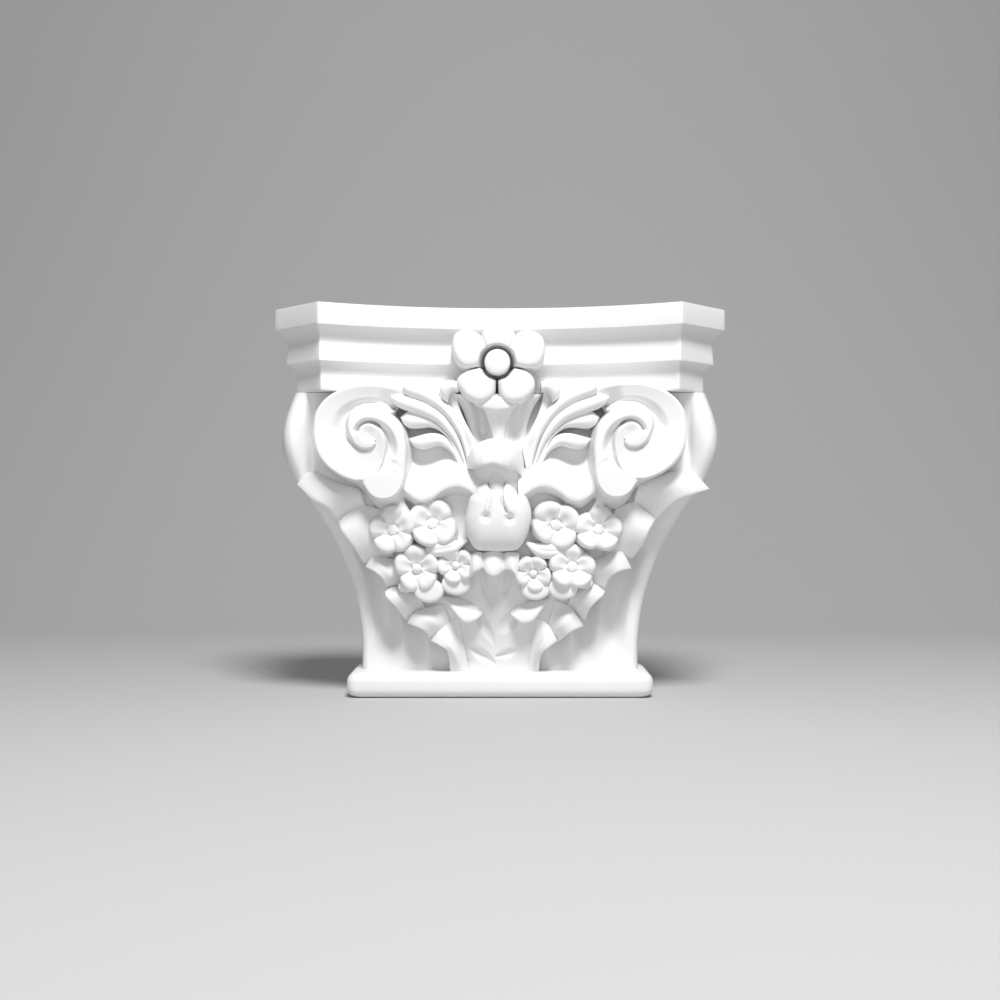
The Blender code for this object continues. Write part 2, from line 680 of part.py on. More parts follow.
def build_calyx():
    """The overturned leaf tip, the pistil under it, the bulb with its pointed rim, and the drops below."""
    cap = [point for point in oval(*CAP, 18, 0.8) if point[1] > tall(151)]
    cap += [sheet(*place) for place in CAP_EDGE]
    pad("overturned_tip", cap, CALYX_FRONT - 0.5 * CAP_RISE, CALYX_FRONT + CAP_RISE)
    pistil = along([sheet(*place) for place in PISTIL], 7)
    fronts = np.linspace(CALYX_FRONT - 0.5 * CAP_RISE, CALYX_FRONT + 0.3 * CAP_RISE, 7)
    band("pistil", pistil, np.linspace(wide(6.2), wide(4), 7), fronts, 0.3 * CAP_RISE)
    bulb = [point for point in oval(*BULB, 18, 0.85) if point[1] < tall(136)]
    bulb += [sheet(*place) for place in BULB_EDGE]
    bulb.sort(key=lambda point: math.atan2(point[1] - tall(118), point[0]))
    pad("bulb", bulb, CALYX_FRONT - BULB_DROP, CALYX_FRONT + 0.2 * BULB_DROP)
    for index, drop in enumerate(DROPS):
        pad(f"calyx_drop_{index + 1}", oval(*drop, 10), DROP_FRONT - 0.6 * BULB_DROP, DROP_FRONT, (0.6,))


def build_foot():
    """The stem, the curls beside it and the leaves at its foot."""
    stem = along([sheet(*place) for place in STEM], len(STEM_HALVES))
    fronts = np.linspace(STEM_FRONT, APRON_FOOT_DEPTH + 0.5 * GROUND_LEAF_LIFT, len(STEM_HALVES))
    band("stem", stem, [wide(half) for half in STEM_HALVES], fronts, 0.75 * GROUND_LEAF_LIFT)
    for side, mark in ((-1, "l"), (1, "r")):
        curl = along(mirrored(CURL, side), len(CURL_HALVES)) + (wide(MIDDLE_SHIFT), 0)
        fronts = np.full(len(CURL_HALVES), CURL_FRONT)
        band(f"curl_{mark}", curl, [wide(half) for half in CURL_HALVES], fronts, 0.5 * GROUND_LEAF_LIFT)
        front = APRON_FOOT_DEPTH + GROUND_LEAF_LIFT
        build_ground_leaf(f"inner_leaf_{mark}", side, (13, 60), (4, 38), 3.6, front)
        build_ground_leaf(f"foot_leaf_{mark}", side, (20, 34), (4, 22), 4.0, APRON_FOOT_DEPTH)


def white_casting():
    material = bpy.data.materials.new("white_casting")
    material.use_nodes = True
    shader = material.node_tree.nodes["Principled BSDF"]
    shader.inputs["Base Color"].default_value = WHITE
    shader.inputs["Roughness"].default_value = 0.6
    shader.inputs["Metallic"].default_value = 0.0
    return material


capital = build_bell()
build_abacus()
build_astragal()
build_apron()
for hand in (-1, 1):
    build_lobes(hand)
    build_volute(hand)
    build_feather(hand)
    build_lip(hand)
build_flowers()
build_fleuron()
build_vase()
build_calyx()
build_foot()

union = capital.modifiers.new("one casting", "BOOLEAN")
union.operation = "UNION"
union.solver = "EXACT"
union.operand_type = "COLLECTION"
union.collection = carving
capital.data.materials.append(white_casting())
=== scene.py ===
import json
import math

import bmesh
import bpy
import numpy as np
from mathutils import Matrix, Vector

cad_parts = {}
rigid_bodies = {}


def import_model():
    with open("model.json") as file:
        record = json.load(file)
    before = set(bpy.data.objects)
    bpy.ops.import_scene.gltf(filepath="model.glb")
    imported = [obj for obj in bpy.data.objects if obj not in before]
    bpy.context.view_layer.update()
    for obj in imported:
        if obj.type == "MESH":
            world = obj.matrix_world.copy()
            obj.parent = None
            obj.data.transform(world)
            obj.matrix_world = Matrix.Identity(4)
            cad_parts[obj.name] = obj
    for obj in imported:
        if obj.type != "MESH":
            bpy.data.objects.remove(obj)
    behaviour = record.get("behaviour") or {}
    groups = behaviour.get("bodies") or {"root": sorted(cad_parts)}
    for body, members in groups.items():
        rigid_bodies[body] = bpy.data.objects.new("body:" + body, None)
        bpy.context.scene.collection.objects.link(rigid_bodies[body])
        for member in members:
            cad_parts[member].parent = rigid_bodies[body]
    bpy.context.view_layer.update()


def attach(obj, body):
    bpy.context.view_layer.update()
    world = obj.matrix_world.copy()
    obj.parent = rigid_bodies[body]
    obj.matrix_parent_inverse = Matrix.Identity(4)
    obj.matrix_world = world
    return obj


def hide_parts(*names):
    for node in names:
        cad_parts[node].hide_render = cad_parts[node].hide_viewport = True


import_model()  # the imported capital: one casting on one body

nodeName = "pilaster_capital"

# All shapes below are in millimetres: x to the right, z up, depth out from the wall.
# A carved detail is placed by its pixel in the photograph, on the plane at its own depth.
photoView = {
    "centreU": 500.5,
    "centreV": 500.0,
    "focal": 1353.0,  # pixels
    "away": 956.4,  # camera to wall
    "up": 132.4,  # camera above the underside
}
buried = 24.0  # depth of the hidden backs, inside the bell
parts = []  # closed surfaces that the casting is made of


# x and z of a pixel: its offset from the picture's centre times the distance over the focal length
def toWall(u, v, depth):
    scale = (photoView["away"] - depth) / photoView["focal"]
    x = (np.asarray(u) - photoView["centreU"]) * scale
    z = photoView["up"] + (photoView["centreV"] - np.asarray(v)) * scale
    return x, z


# the same pixels on the other side of the middle line, where side is 1
def mirrored(points, side):
    return [(u if side < 0 else 2 * photoView["centreU"] - u, v) for u, v in points]


# a at share 0, b at share 1, straight between
def mix(a, b, share):
    return a + (b - a) * share


# the S-curve 3s^2 - 2s^3, held at 0 and 1 outside
def smooth(share):
    s = np.clip(share, 0, 1)
    return s * s * (3 - 2 * s)


# Catmull-Rom: each stretch is the cubic through four neighbouring points, read at places from 0 to 1
def curveAt(points, places):
    p = np.asarray(points, float)
    p = np.vstack([2 * p[0] - p[1], p, 2 * p[-1] - p[-2]])
    s = np.asarray(places, float) * (len(p) - 3)
    i = np.clip(s.astype(int), 0, len(p) - 4)
    t = (s - i)[:, None]
    a, b, c, d = p[i], p[i + 1], p[i + 2], p[i + 3]
    return 0.5 * (2 * b + (c - a) * t + (2 * a - 5 * b + 4 * c - d) * t**2 + (3 * b - a - 3 * c + d) * t**3)


# the same curve at evenly spaced places
def curve(points, count):
    return curveAt(points, np.linspace(0, 1, count))


# places from 0 to 1, closer together towards both ends by a half cosine
def crowded(count):
    return 0.5 - 0.5 * np.cos(np.linspace(0, math.pi, count))


# faces of a grid, the last column joined to the first where it wraps
def quads(rows, columns, wrap):
    i = np.arange(rows - 1)[:, None]
    j = np.arange(columns if wrap else columns - 1)[None, :]
    k = (j + 1) % columns
    below, above = i * columns, (i + 1) * columns
    return np.stack([below + j, below + k, above + k, above + j], -1).reshape(-1, 4)


# a slab: a front grid and a back grid of the same size, stitched round their border
def addPatch(x, z, depth, backX, backZ, backDepth):
    rows, columns = x.shape
    front = np.stack([x, -depth, z], -1).reshape(-1, 3)
    rear = np.stack([backX, -np.broadcast_to(backDepth, x.shape), backZ], -1).reshape(-1, 3)
    faces = quads(rows, columns, False)
    count = rows * columns
    index = np.arange(count).reshape(rows, columns)
    rim = np.concatenate([index[0], index[1:, -1], index[-1, -2::-1], index[-2:0:-1, 0]])
    after = np.roll(rim, -1)
    wall = np.stack([after, rim, rim + count, after + count], -1)
    parts.append((np.vstack([front, rear]), [faces, faces[:, ::-1] + count, wall]))


# rings joined in order, closed at both ends by a fan round the ring's middle or round a hub at a given depth
def addRings(x, depth, z, hub=None):
    rows, columns = x.shape
    rings = np.stack([x, -depth, z], -1)
    ends = rings[[0, -1]].mean(axis=1)
    if hub is not None:
        ends[:, 1] = -hub
    first, last = rows * columns, rows * columns + 1
    j = np.arange(columns)
    k = (j + 1) % columns
    top = (rows - 1) * columns
    foot = np.stack([k, j, np.full(columns, first)], -1)
    head = np.stack([top + j, top + k, np.full(columns, last)], -1)
    parts.append((np.vstack([rings.reshape(-1, 3), ends]), [quads(rows, columns, True), foot, head]))


# Abacus

abacus = {
    "half": 150.0,
    "depth": 95.0,
    "bottom": 203.5,
    "hornCorner": 116.0,  # from the middle to where the front meets the horn
    "recess": 32.0,  # how far the middle of the front lies behind the horns
    "hornSide": 55.0,  # from the wall to where the side meets the horn
    "sideRecess": 22.0,  # how far the side draws in at the wall
    "corner": 1.0,  # rounding of the arrises in plan
    "hub": 20.0,  # depth of the middle of its top and its underside
}
# inset from the fascia and height above the foot of the lower band, corner to corner
abacusProfile = (
    ((17.0, 0.0), (14.9, 0.0), (14.4, 0.5), (14.3, 2.0), (14.3, 10.6)),
    ((14.3, 11.0), (13.6, 13.6), (11.8, 16.4), (9.6, 18.2), (8.0, 18.6)),
    ((7.6, 18.8), (7.5, 19.3), (7.6, 20.2), (8.5, 31.0)),
    ((8.7, 31.8), (8.0, 34.4), (5.2, 38.0), (1.8, 40.7), (0.5, 41.2)),
    ((0.1, 41.5), (0.0, 42.2), (0.0, 54.6), (0.2, 55.3), (0.8, 55.5), (3.0, 55.5)),
)


# quadratic curve round a corner of the plan, with its ends at the reach along both sides
def easeCorner(before, corner, after, reach, count=5):
    t = np.linspace(0, 1, count)[:, None]
    a = corner + (before - corner) / np.linalg.norm(before - corner) * reach
    b = corner + (after - corner) / np.linalg.norm(after - corner) * reach
    return (1 - t) ** 2 * a + 2 * t * (1 - t) * corner + t**2 * b


# right half of the plan: side drawn in to the wall as a parabola, chamfered horn, front on a circle
def abacusPlan(inset):
    half = abacus["half"] - inset
    depth = abacus["depth"] - inset
    share = np.linspace(0, 1, 9)
    side = np.stack([half - abacus["sideRecess"] * (1 - share**2), abacus["hornSide"] * share], -1)
    radius = (abacus["hornCorner"] ** 2 + abacus["recess"] ** 2) / (2 * abacus["recess"])
    x = np.linspace(abacus["hornCorner"], 0, 33)
    front = np.stack([x, depth - abacus["recess"] + radius - np.sqrt(radius**2 - x**2)], -1)
    outer = easeCorner(side[-2], side[-1], front[0], abacus["corner"])
    inner = easeCorner(side[-1], front[0], front[1], abacus["corner"])
    chamfer = mix(outer[-1], inner[0], np.linspace(0.1, 0.9, 5)[:, None])
    return np.vstack([side[:-1], outer, chamfer, inner, front[1:]])


# the profile's points of (inset, height), each ring the plan at that inset
def makeAbacus():
    rows = []
    for run in abacusProfile:
        for inset, height in run:
            right = abacusPlan(inset)
            ring = np.vstack([right, right[-2::-1] * (-1, 1)])
            rows.append(np.column_stack([ring, np.full(len(ring), abacus["bottom"] + height)]))
    rows = np.array(rows)
    addRings(rows[..., 0], rows[..., 1], rows[..., 2], abacus["hub"])


# Bell and astragal

bell = {
    "neckHalf": 94.5,
    "neckDepth": 36.0,
    "shoulderHalf": 136.5,
    "topHalf": 137.0,
    "topDepth": 50.0,
    "cornerDepth": 68.0,
    "flareStart": 30.0,
    "flarePower": 1.9,
    "frontPower": 2.2,
    "bulge": 7.8,
    "rollDepth": 10.0,  # how far the rolls behind the volutes stand out in front
    "coveDepth": 6.0,  # groove between roll and volute
    "shoulder": 144.0,
    "fluteDepth": 9.0,
    "fluteFoot": 19.0,
    "fluteTop": 96.0,
}
# middle and half-width of each flute at the neck
fluteSpans = ((76.0, 9.5), (57.5, 8.5), (40.5, 8.0))


# share of the height from the neck to the shoulder, raised to the flare's power
def flare(z):
    share = (z - bell["flareStart"]) / (bell["shoulder"] - bell["flareStart"])
    return np.clip(share, 0, 1) ** bell["flarePower"]


# 0 below the shoulder and under the abacus, 1 about halfway between, along a sine
def rollShare(z):
    share = np.clip((z - bell["shoulder"]) / (abacus["bottom"] - bell["shoulder"]), 0, 1)
    return np.sin(math.pi * share**0.9)


# half-width: the flare up to the shoulder, then the bulge of the rolls behind the volutes
def bellHalf(z):
    below = mix(bell["neckHalf"], bell["shoulderHalf"], flare(z))
    share = np.clip((z - bell["shoulder"]) / (abacus["bottom"] - bell["shoulder"]), 0, 1)
    above = mix(bell["shoulderHalf"], bell["topHalf"], share) + bell["bulge"] * rollShare(z)
    return np.where(z <= bell["shoulder"], below, above)


# depth of the front: it grows with the square of x over the half-width
def bellFront(x, z):
    share = flare(z) ** bell["frontPower"]
    middle = mix(bell["neckDepth"], bell["topDepth"], share)
    corner = mix(bell["neckDepth"], bell["cornerDepth"], share)
    return mix(middle, corner, np.minimum(np.abs(x) / bellHalf(z), 1) ** 2)


# rounded hollows: half a cosine across each, fading out at the foot, and wider where the bell is wider
def flutes(x, z):
    fade = smooth((z - bell["fluteFoot"]) / 30) * (1 - smooth((z - bell["fluteTop"]) / 8))
    narrow = bell["neckHalf"] / bellHalf(z)
    hollow = np.zeros(np.broadcast(x, z).shape)
    for middle, half in fluteSpans:
        offset = np.clip((np.abs(x) * narrow - middle) / half, -1, 1)
        hollow = hollow + np.cos(offset * math.pi / 2) ** 1.2
    return bell["fluteDepth"] * fade * hollow


# Horizontal rings: wall, side, the corner with its roll and cove, then the front with its flutes, mirrored
# left. The roll and the cove grow out of the plain rounded corner with the roll's share.
def makeBell():
    z = np.concatenate([np.linspace(8.5, 144, 50), np.linspace(146.5, 203.2, 24), [205.5, 212.0]])
    tenon = np.where(z > abacus["bottom"], 20.0, 0.0)
    half = bellHalf(z) - tenon
    bow = abacus["sideRecess"] * flare(z)
    roll = rollShare(z) ** 0.6
    inner = mix(0.925, 0.83, roll) * half
    front = bellFront(inner, z)
    crest = front + bell["rollDepth"] * roll
    cove = front - bell["coveDepth"] * roll
    sideShare = np.array([0.38, 0.68, 0.84])[:, None]
    plainTurn = np.array([0.996, 0.985, 0.97, 0.955, 0.94])[:, None]
    rollTurn = np.array([0.6, 3.5, 9.5, 16.0, 20.0])[:, None]
    start = np.stack([half - bow, half - 0.35 * bow, half])
    plainX = np.vstack([start, plainTurn * half, [inner]])
    rollX = np.vstack([start, half - rollTurn, [inner]])
    plainY = np.vstack([[0 * z], sideShare * front, [0.94 * front, 0.98 * front, front, front, front]])
    intoCove = [0.955 * crest, crest, mix(crest, cove, 0.35), cove, front]
    rollY = np.vstack([[0 * z], sideShare * crest, intoCove])
    sideX = curve(mix(plainX, rollX, roll), 36).T
    sideY = curve(mix(plainY, rollY, roll), 36).T
    x = np.linspace(1, 0, 76)[None, 1:] * inner[:, None]
    y = bellFront(x, z[:, None]) - flutes(x, z[:, None])
    rightX = np.concatenate([sideX, x], axis=1)
    rightY = np.concatenate([sideY, y], axis=1)
    ringX = np.concatenate([rightX, -rightX[:, -2::-1]], axis=1)
    ringY = np.concatenate([rightY, rightY[:, -2::-1]], axis=1)
    ringY = np.maximum(ringY - tenon[:, None], 0.0)
    addRings(ringX, ringY, np.broadcast_to(z[:, None], ringX.shape), 15.0)


astragal = {"half": 102.7, "depth": 55.0, "height": 17.0, "ease": 6.5}


# a bead with quarter-round edges, carried along the left side, the front and the right side
def makeAstragal():
    turn = np.linspace(0, math.pi / 2, 9)
    ease = astragal["ease"]
    inset = np.concatenate([ease * (1 - np.sin(turn)), ease * (1 - np.cos(turn))])
    height = np.concatenate([ease * (1 - np.cos(turn)), astragal["height"] - ease * (1 - np.sin(turn))])
    half = astragal["half"] - inset[:, None]
    depth = astragal["depth"] - inset[:, None]
    around = np.linspace(0, math.pi / 2, 9)[None, :]
    cornerX = half - ease * (1 - np.cos(around))
    cornerY = depth - ease * (1 - np.sin(around))
    x = np.concatenate([half, cornerX, -cornerX[:, ::-1], -half], axis=1)
    y = np.concatenate([0 * half, cornerY, cornerY[:, ::-1], 0 * half], axis=1)
    addRings(x, y, np.broadcast_to(height[:, None], x.shape))


# The big leaf: its ground and the folded lobes down both edges

bigLeaf = {
    "footDepth": 43.0,
    "topDepth": 63.0,
    "top": 153.0,
    "lift": 11.0,  # crest of a lobe above the ground
    # height and half-width of the ground between the lobes
    "halves": ((24, 21.7), (40.5, 35.5), (54, 51.3), (74.5, 64.8), (91, 78), (119.5, 95.5), (144.5, 122.7)),
    "stem": 5.0,
    "stemMiddle": -3.0,
    "stemHalf": 20.0,
}
# pixels: the top edge from the free tip inwards, down the free edge, and the inner end of the valley
leftLobes = (
    (((297.5, 484), (311, 471.5), (333, 481), (359, 489)),
     ((313, 499), (329, 509), (339, 522)), (366, 508)),
    (((339, 521.5), (348, 512.6), (361.3, 505.5), (384, 510)),
     ((343, 532), (355.4, 549.2), (364, 563)), (394, 556)),
    (((365.7, 567), (370, 560), (376, 556), (398, 560)),
     ((376, 572.7), (384.8, 581.5), (386.5, 588)), (410, 582)),
    (((384.8, 591), (391, 588), (400, 586.5), (416, 592)),
     ((387.7, 598.4), (398, 609.4), (406, 620)), (426, 608)),
    (((407.5, 623.3), (414, 613), (430, 607), (444, 604)),
     ((417, 627), (427.3, 633), (430.5, 640)), (452, 628)),
    (((431, 641), (436, 633), (443, 626), (458, 616)),
     ((440.5, 646), (448, 652.5), (451, 673)), (470, 674)),
)
rightLobes = (
    (((710, 488.7), (694, 474), (672, 472), (640, 483)),
     ((695, 493.5), (676, 502), (656, 520)), (634, 506)),
    (((656, 519), (645.4, 510), (635, 501.5), (616, 509)),
     ((650, 529.4), (644, 543), (633.4, 558)), (606, 556)),
    (((632, 568.4), (626, 556.5), (619, 550.4), (597, 559)),
     ((622.5, 570.6), (611, 577), (605, 589)), (588, 580)),
    (((605.7, 591), (597.5, 585), (590, 582.6), (574, 590)),
     ((602, 597), (590, 609), (585.5, 620)), (568, 606)),
    (((584, 626), (578, 616), (570.5, 606.6), (556, 600)),
     ((575, 630), (566, 636), (559, 641)), (548, 628)),
    (((558, 640.7), (553, 631), (548, 624), (538, 616)),
     ((549.4, 647.4), (541.7, 655), (539, 674)), (528, 674)),
)
# leaf-shaped cuts in the ground: two ends and half-width in pixels, depth, and softness towards the end
cuts = (
    ((469, 647), (496, 666), 6.0, 4.5, 0.5),
    ((495, 658.5), (522, 650.5), 4.5, 3.5, 0.6),
    ((477, 609), (494, 645), 6.0, 6.0, 0.8),
    ((521, 612), (496, 634), 8.0, 4.0, 0.8),
    ((481.5, 566), (489, 602), 4.5, 5.0, 0.6),
    ((495.3, 566), (495.5, 612), 9.0, 4.5, 0.4),
    ((511.5, 566), (503, 598), 5.0, 5.0, 0.6),
)


# depth of the big leaf's ground: straight from the foot up to the rim
def leafGround(z):
    share = np.clip((z - astragal["height"]) / 133.0, 0, 1)
    return mix(bigLeaf["footDepth"], bigLeaf["topDepth"], share)


# a cut's cross-section is 1 - s^2, with s from -1 to 1 across a leaf that is widest in its middle
def cutDepth(x, z):
    scale = (photoView["away"] - 52.0) / photoView["focal"]
    u = photoView["centreU"] + x / scale
    v = photoView["centreV"] - (z - photoView["up"]) / scale
    total = np.zeros(np.broadcast(x, z).shape)
    for start, end, half, deep, soft in cuts:
        start, end = np.array(start), np.array(end)
        run = end - start
        length = np.linalg.norm(run)
        along = ((u - start[0]) * run[0] + (v - start[1]) * run[1]) / length**2
        across = ((u - start[0]) * run[1] - (v - start[1]) * run[0]) / length
        leaf = np.clip(4 * along * (1 - along), 0, 1)
        share = np.clip(np.abs(across) / (half * leaf**0.7 + 0.01), 0, 1)
        total = np.maximum(total, deep * leaf**0.5 * (1 - share**2) * (1 - soft * smooth(along)))
    return total


# between the two edges of lobes: a bulge carries the stem down the middle, and the sides run back to the bell
def makeLeafGround():
    z = np.linspace(12, bigLeaf["top"], 130)
    half = np.interp(z, *np.array(bigLeaf["halves"]).T)
    share = np.linspace(1, -1, 141)
    x = half[:, None] * share[None, :]
    up = z[:, None]
    bulge = np.exp(-(((x - bigLeaf["stemMiddle"]) / bigLeaf["stemHalf"]) ** 2))
    stem = bigLeaf["stem"] * bulge * smooth((up - 30) / 40) * (1 - smooth((up - 95) / 20))
    y = leafGround(up) + stem - 3.0 * np.abs(share[None, :]) ** 6 - cutDepth(x, up)
    ringX = np.concatenate([half[:, None], x, -half[:, None]], axis=1)
    ringY = np.concatenate([0 * half[:, None] + buried, y, 0 * half[:, None] + buried], axis=1)
    addRings(ringX, ringY, np.broadcast_to(z[:, None], ringX.shape), 30.0)


# a lobe between its top edge and the valley: out is 1 at the free edge, and across it the depth is a roll,
# the sine of a turn that starts past its foot, so that each crisp top edge stands over the valley before it
def makeLobe(topEdge, freeEdge, valley):
    out = crowded(20)
    down = crowded(20)
    top = curveAt(topEdge, 1 - out)
    free = curveAt((topEdge[0],) + freeEdge, down)
    inner = mix(np.array(topEdge[-1]), np.array(valley), down[:, None])
    bottom = mix(np.array(valley), np.array(freeEdge[-1]), out[:, None])
    a, b = out[:, None, None], down[None, :, None]
    corners = (1 - a) * mix(top[0], bottom[0], b) + a * mix(top[-1], bottom[-1], b)
    grid = (1 - b) * top[:, None] + b * bottom[:, None] + (1 - a) * inner[None] + a * free[None] - corners
    u, v = grid[..., 0], grid[..., 1]
    z = toWall(u, v, 60.0)[1]
    a, b = a[..., 0], b[..., 0]
    roll = np.sin(math.pi * (0.13 + 0.83 * b))
    swell = mix(0.15 + 0.5 * smooth((z - 50) / 60), 1.0, smooth(a / 0.6))
    ease = 0.6 * (1 - smooth((1 - a) / 0.04)) + 0.4 * (1 - smooth(b / 0.03))
    depth = leafGround(z) + bigLeaf["lift"] * roll * swell - ease
    x, z = toWall(u, v, depth)
    addPatch(x, z, depth, 0.88 * x, z, buried)


# Volutes

volute = {
    "radius": 36.3,
    "front": 84.0,
    "relief": 7.5,  # from the bands down to the floor between them
    "coil": 2.0,  # how far the eye stands out in front of the first turn
    "opening": 10.0,  # how far the face sinks where the rim band starts
    "notch": 6.0,  # depth of the groove over the eye
    "leftEye": (369.1, 434.0),
    "rightEye": (631.9, 432.2),
}
# angle from the inner side over the top, and share of the radius
voluteOutline = np.array((
    (-57.5, 1.106), (-48, 0.955), (-37, 0.81), (-22, 0.71), (-8, 0.65), (12, 0.59), (34, 0.545),
    (42, 0.555), (46, 0.75), (50, 1.0), (53, 1.00), (57, 0.975), (66, 0.93), (80, 0.90), (92, 0.89),
    (116, 0.925), (137, 0.985), (156, 1.02), (173, 0.995), (196, 0.98), (214, 0.95), (231, 0.91),
    (249, 0.88), (258, 0.885), (264.5, 0.92), (270.8, 1.066), (279.6, 1.183), (291.4, 1.21), (302.5, 1.106),
))
# the same angle, inner edge and outer edge, both as shares of the radius
rimBand = np.array((
    (40, 0.82, 1.12), (45, 0.79, 1.06), (50, 0.765, 1.02), (57, 0.72, 0.975), (67, 0.69, 0.925),
    (80, 0.688, 0.90), (92, 0.688, 0.89), (116, 0.70, 0.925), (137, 0.725, 0.985), (156, 0.72, 1.02),
    (173, 0.69, 0.995), (196, 0.53, 0.98), (214, 0.44, 0.95), (231, 0.41, 0.91), (249, 0.38, 0.86),
    (266, 0.33, 0.795), (280, 0.27, 0.71), (294, 0.22, 0.58), (312, 0.14, 0.42), (342, 0, 0.285),
    (374, 0, 0.205), (415, 0, 0.168), (464, 0, 0.172), (500, 0, 0.18), (530, 0, 0.17), (575, 0, 0.17),
    (620, 0, 0.175), (660, 0, 0.17), (700, 0, 0.13),
))
stalkBand = np.array((
    (-66, 0.64, 1.60), (-54, 0.64, 1.30), (-40, 0.645, 0.87), (-12, 0.52, 0.655), (11, 0.427, 0.585),
    (37, 0.357, 0.54), (62, 0.315, 0.52), (87, 0.283, 0.508), (111, 0.262, 0.487), (136, 0.236, 0.45),
    (160, 0.206, 0.385), (182, 0.186, 0.32), (205, 0.184, 0.288), (238, 0.195, 0.264), (262, 0.20, 0.245),
    (285, 0.195, 0.23), (305, 0.17, 0.20), (325, 0.12, 0.15),
))


# 0 to 1: highest at the band's outer edge, a little lower at the inner one, falling off along S-curves beyond
# them. The angle is tried one and two turns on as well.
def bandHeight(angle, radius, band, innerFall, outerFall, foot, dish):
    rows = curve(band, 140)
    height = np.zeros(radius.shape)
    for turn in (0, 360, 720):
        a = angle + turn
        inner = np.interp(a, rows[:, 0], rows[:, 1])
        outer = np.interp(a, rows[:, 0], rows[:, 2])
        inside = (a >= rows[0, 0]) & (a <= rows[-1, 0])
        taper = smooth((a - rows[0, 0]) / foot) * smooth((rows[-1, 0] - a) / 20)
        shape = (1 - smooth((inner - radius) / innerFall)) * (1 - smooth((radius - outer) / outerFall))
        shape = shape * (1 - dish * np.clip((outer - radius) / (outer - inner), 0, 1))
        height = np.maximum(height, np.where(inside, taper * shape, 0))
    return height


# Polar grid round the eye: depth is the floor plus the two spiral bands. The stalk's foot swells into a
# scallop, the rim band sinks towards its start, and a notch lies over the eye. The wall slopes outward to
# its back, most of all below the scallop.
def makeVolute(side):
    columns = 180
    angle = np.linspace(-180, 180, columns, endpoint=False)[None, :]
    lifted = np.where(angle < -57.5, angle + 360, angle)
    edge = curve(voluteOutline, 240)
    outline = np.interp(lifted, edge[:, 0], edge[:, 1])
    outer = np.concatenate([[1, 0.985, 0.95, 0.91], np.linspace(0.87, 0, 26)])[:, None]
    inner = np.linspace(0.49, 0.03, 32)[:, None]
    radius = np.concatenate([0.5 + (outline - 0.5) * outer, inner + 0 * outline])
    rimHeight = bandHeight(angle, radius, rimBand, 0.20, 0.07, 8, 0.3)
    stalkHeight = bandHeight(angle, radius, stalkBand, 0.19, 0.09, 22, 0.0)
    scallop = smooth((lifted - 250) / 16) + smooth((-26 - lifted) / 24)
    swelling = scallop * smooth((radius - 0.45) / 0.2) * (0.74 + 0.26 * smooth((radius - 0.6) / 0.16))
    height = np.maximum(np.maximum(rimHeight, stalkHeight), swelling)
    depth = volute["front"] - volute["relief"] * (1 - height) + volute["coil"] * (1 - smooth(radius / 0.6))
    opening = smooth((lifted - 38) / 10) * smooth((82 - lifted) / 32) * smooth((radius - 0.56) / 0.08)
    depth = depth - volute["opening"] * opening
    over = smooth((lifted - 20) / 40) * smooth((190 - lifted) / 30)
    depth = depth - volute["notch"] * over * np.exp(-(((radius - 0.225) / 0.035) ** 2))
    depth = depth - 1.2 * smooth((radius - outline + 0.045) / 0.045) ** 2
    radius = radius * volute["radius"]
    wallDepths = np.array([44.0, 60.0, 66.0, 71.0, 77.0])[:, None]
    wallSwell = np.array([0.13, 0.08, 0.05, 0.02, 0.005])[:, None] * (1 + 1.3 * scallop) + 1
    wall = np.minimum(wallDepths, depth[:1] - np.array([30, 16, 10, 5, 1])[:, None])
    radius = np.concatenate([radius[:1] * wallSwell, radius])
    depth = np.concatenate([wall, depth])
    turn = np.radians(angle)
    middle = volute["leftEye"] if side < 0 else volute["rightEye"]
    x, z = toWall(*middle, volute["front"])
    addRings(x - side * radius * np.cos(turn), depth, z + radius * np.sin(turn))


# Leaves and bands: one profile carried along a path

# Path, half-widths and depths are curves in pixels and millimetres. Across the path, with s from -1 to 1, the
# front stands crown times (1 - |s|^flat) above the edge, less a narrow groove along the middle.
def makeLeaf(path, halves, depths, crown=2.0, groove=0.0, flat=2.0, rows=26):
    line = curve(path, rows)
    tangent = np.gradient(line, axis=0)
    tangent /= np.linalg.norm(tangent, axis=1)[:, None]
    t = np.linspace(0, 1, rows)
    half = np.interp(t, np.linspace(0, 1, len(halves)), halves)
    kernel = np.array([1, 2, 3, 2, 1]) / 9
    half = np.convolve(np.pad(half, 2, mode="edge"), kernel, mode="valid")
    depth = np.interp(t, np.linspace(0, 1, len(depths)), depths)[:, None]
    s = (2 * crowded(19) - 1)[None, :]
    u = line[:, :1] - tangent[:, 1:] * half[:, None] * s
    v = line[:, 1:] + tangent[:, :1] * half[:, None] * s
    size = np.minimum(half / max(half.max(), 0.01), 1)[:, None]
    front = depth - crown + crown * size * (1 - np.abs(s) ** flat)
    front = front - groove * size * np.exp(-((s / 0.16) ** 2))
    x, z = toWall(u, v, front)
    addPatch(x, z, front, x, z, buried)


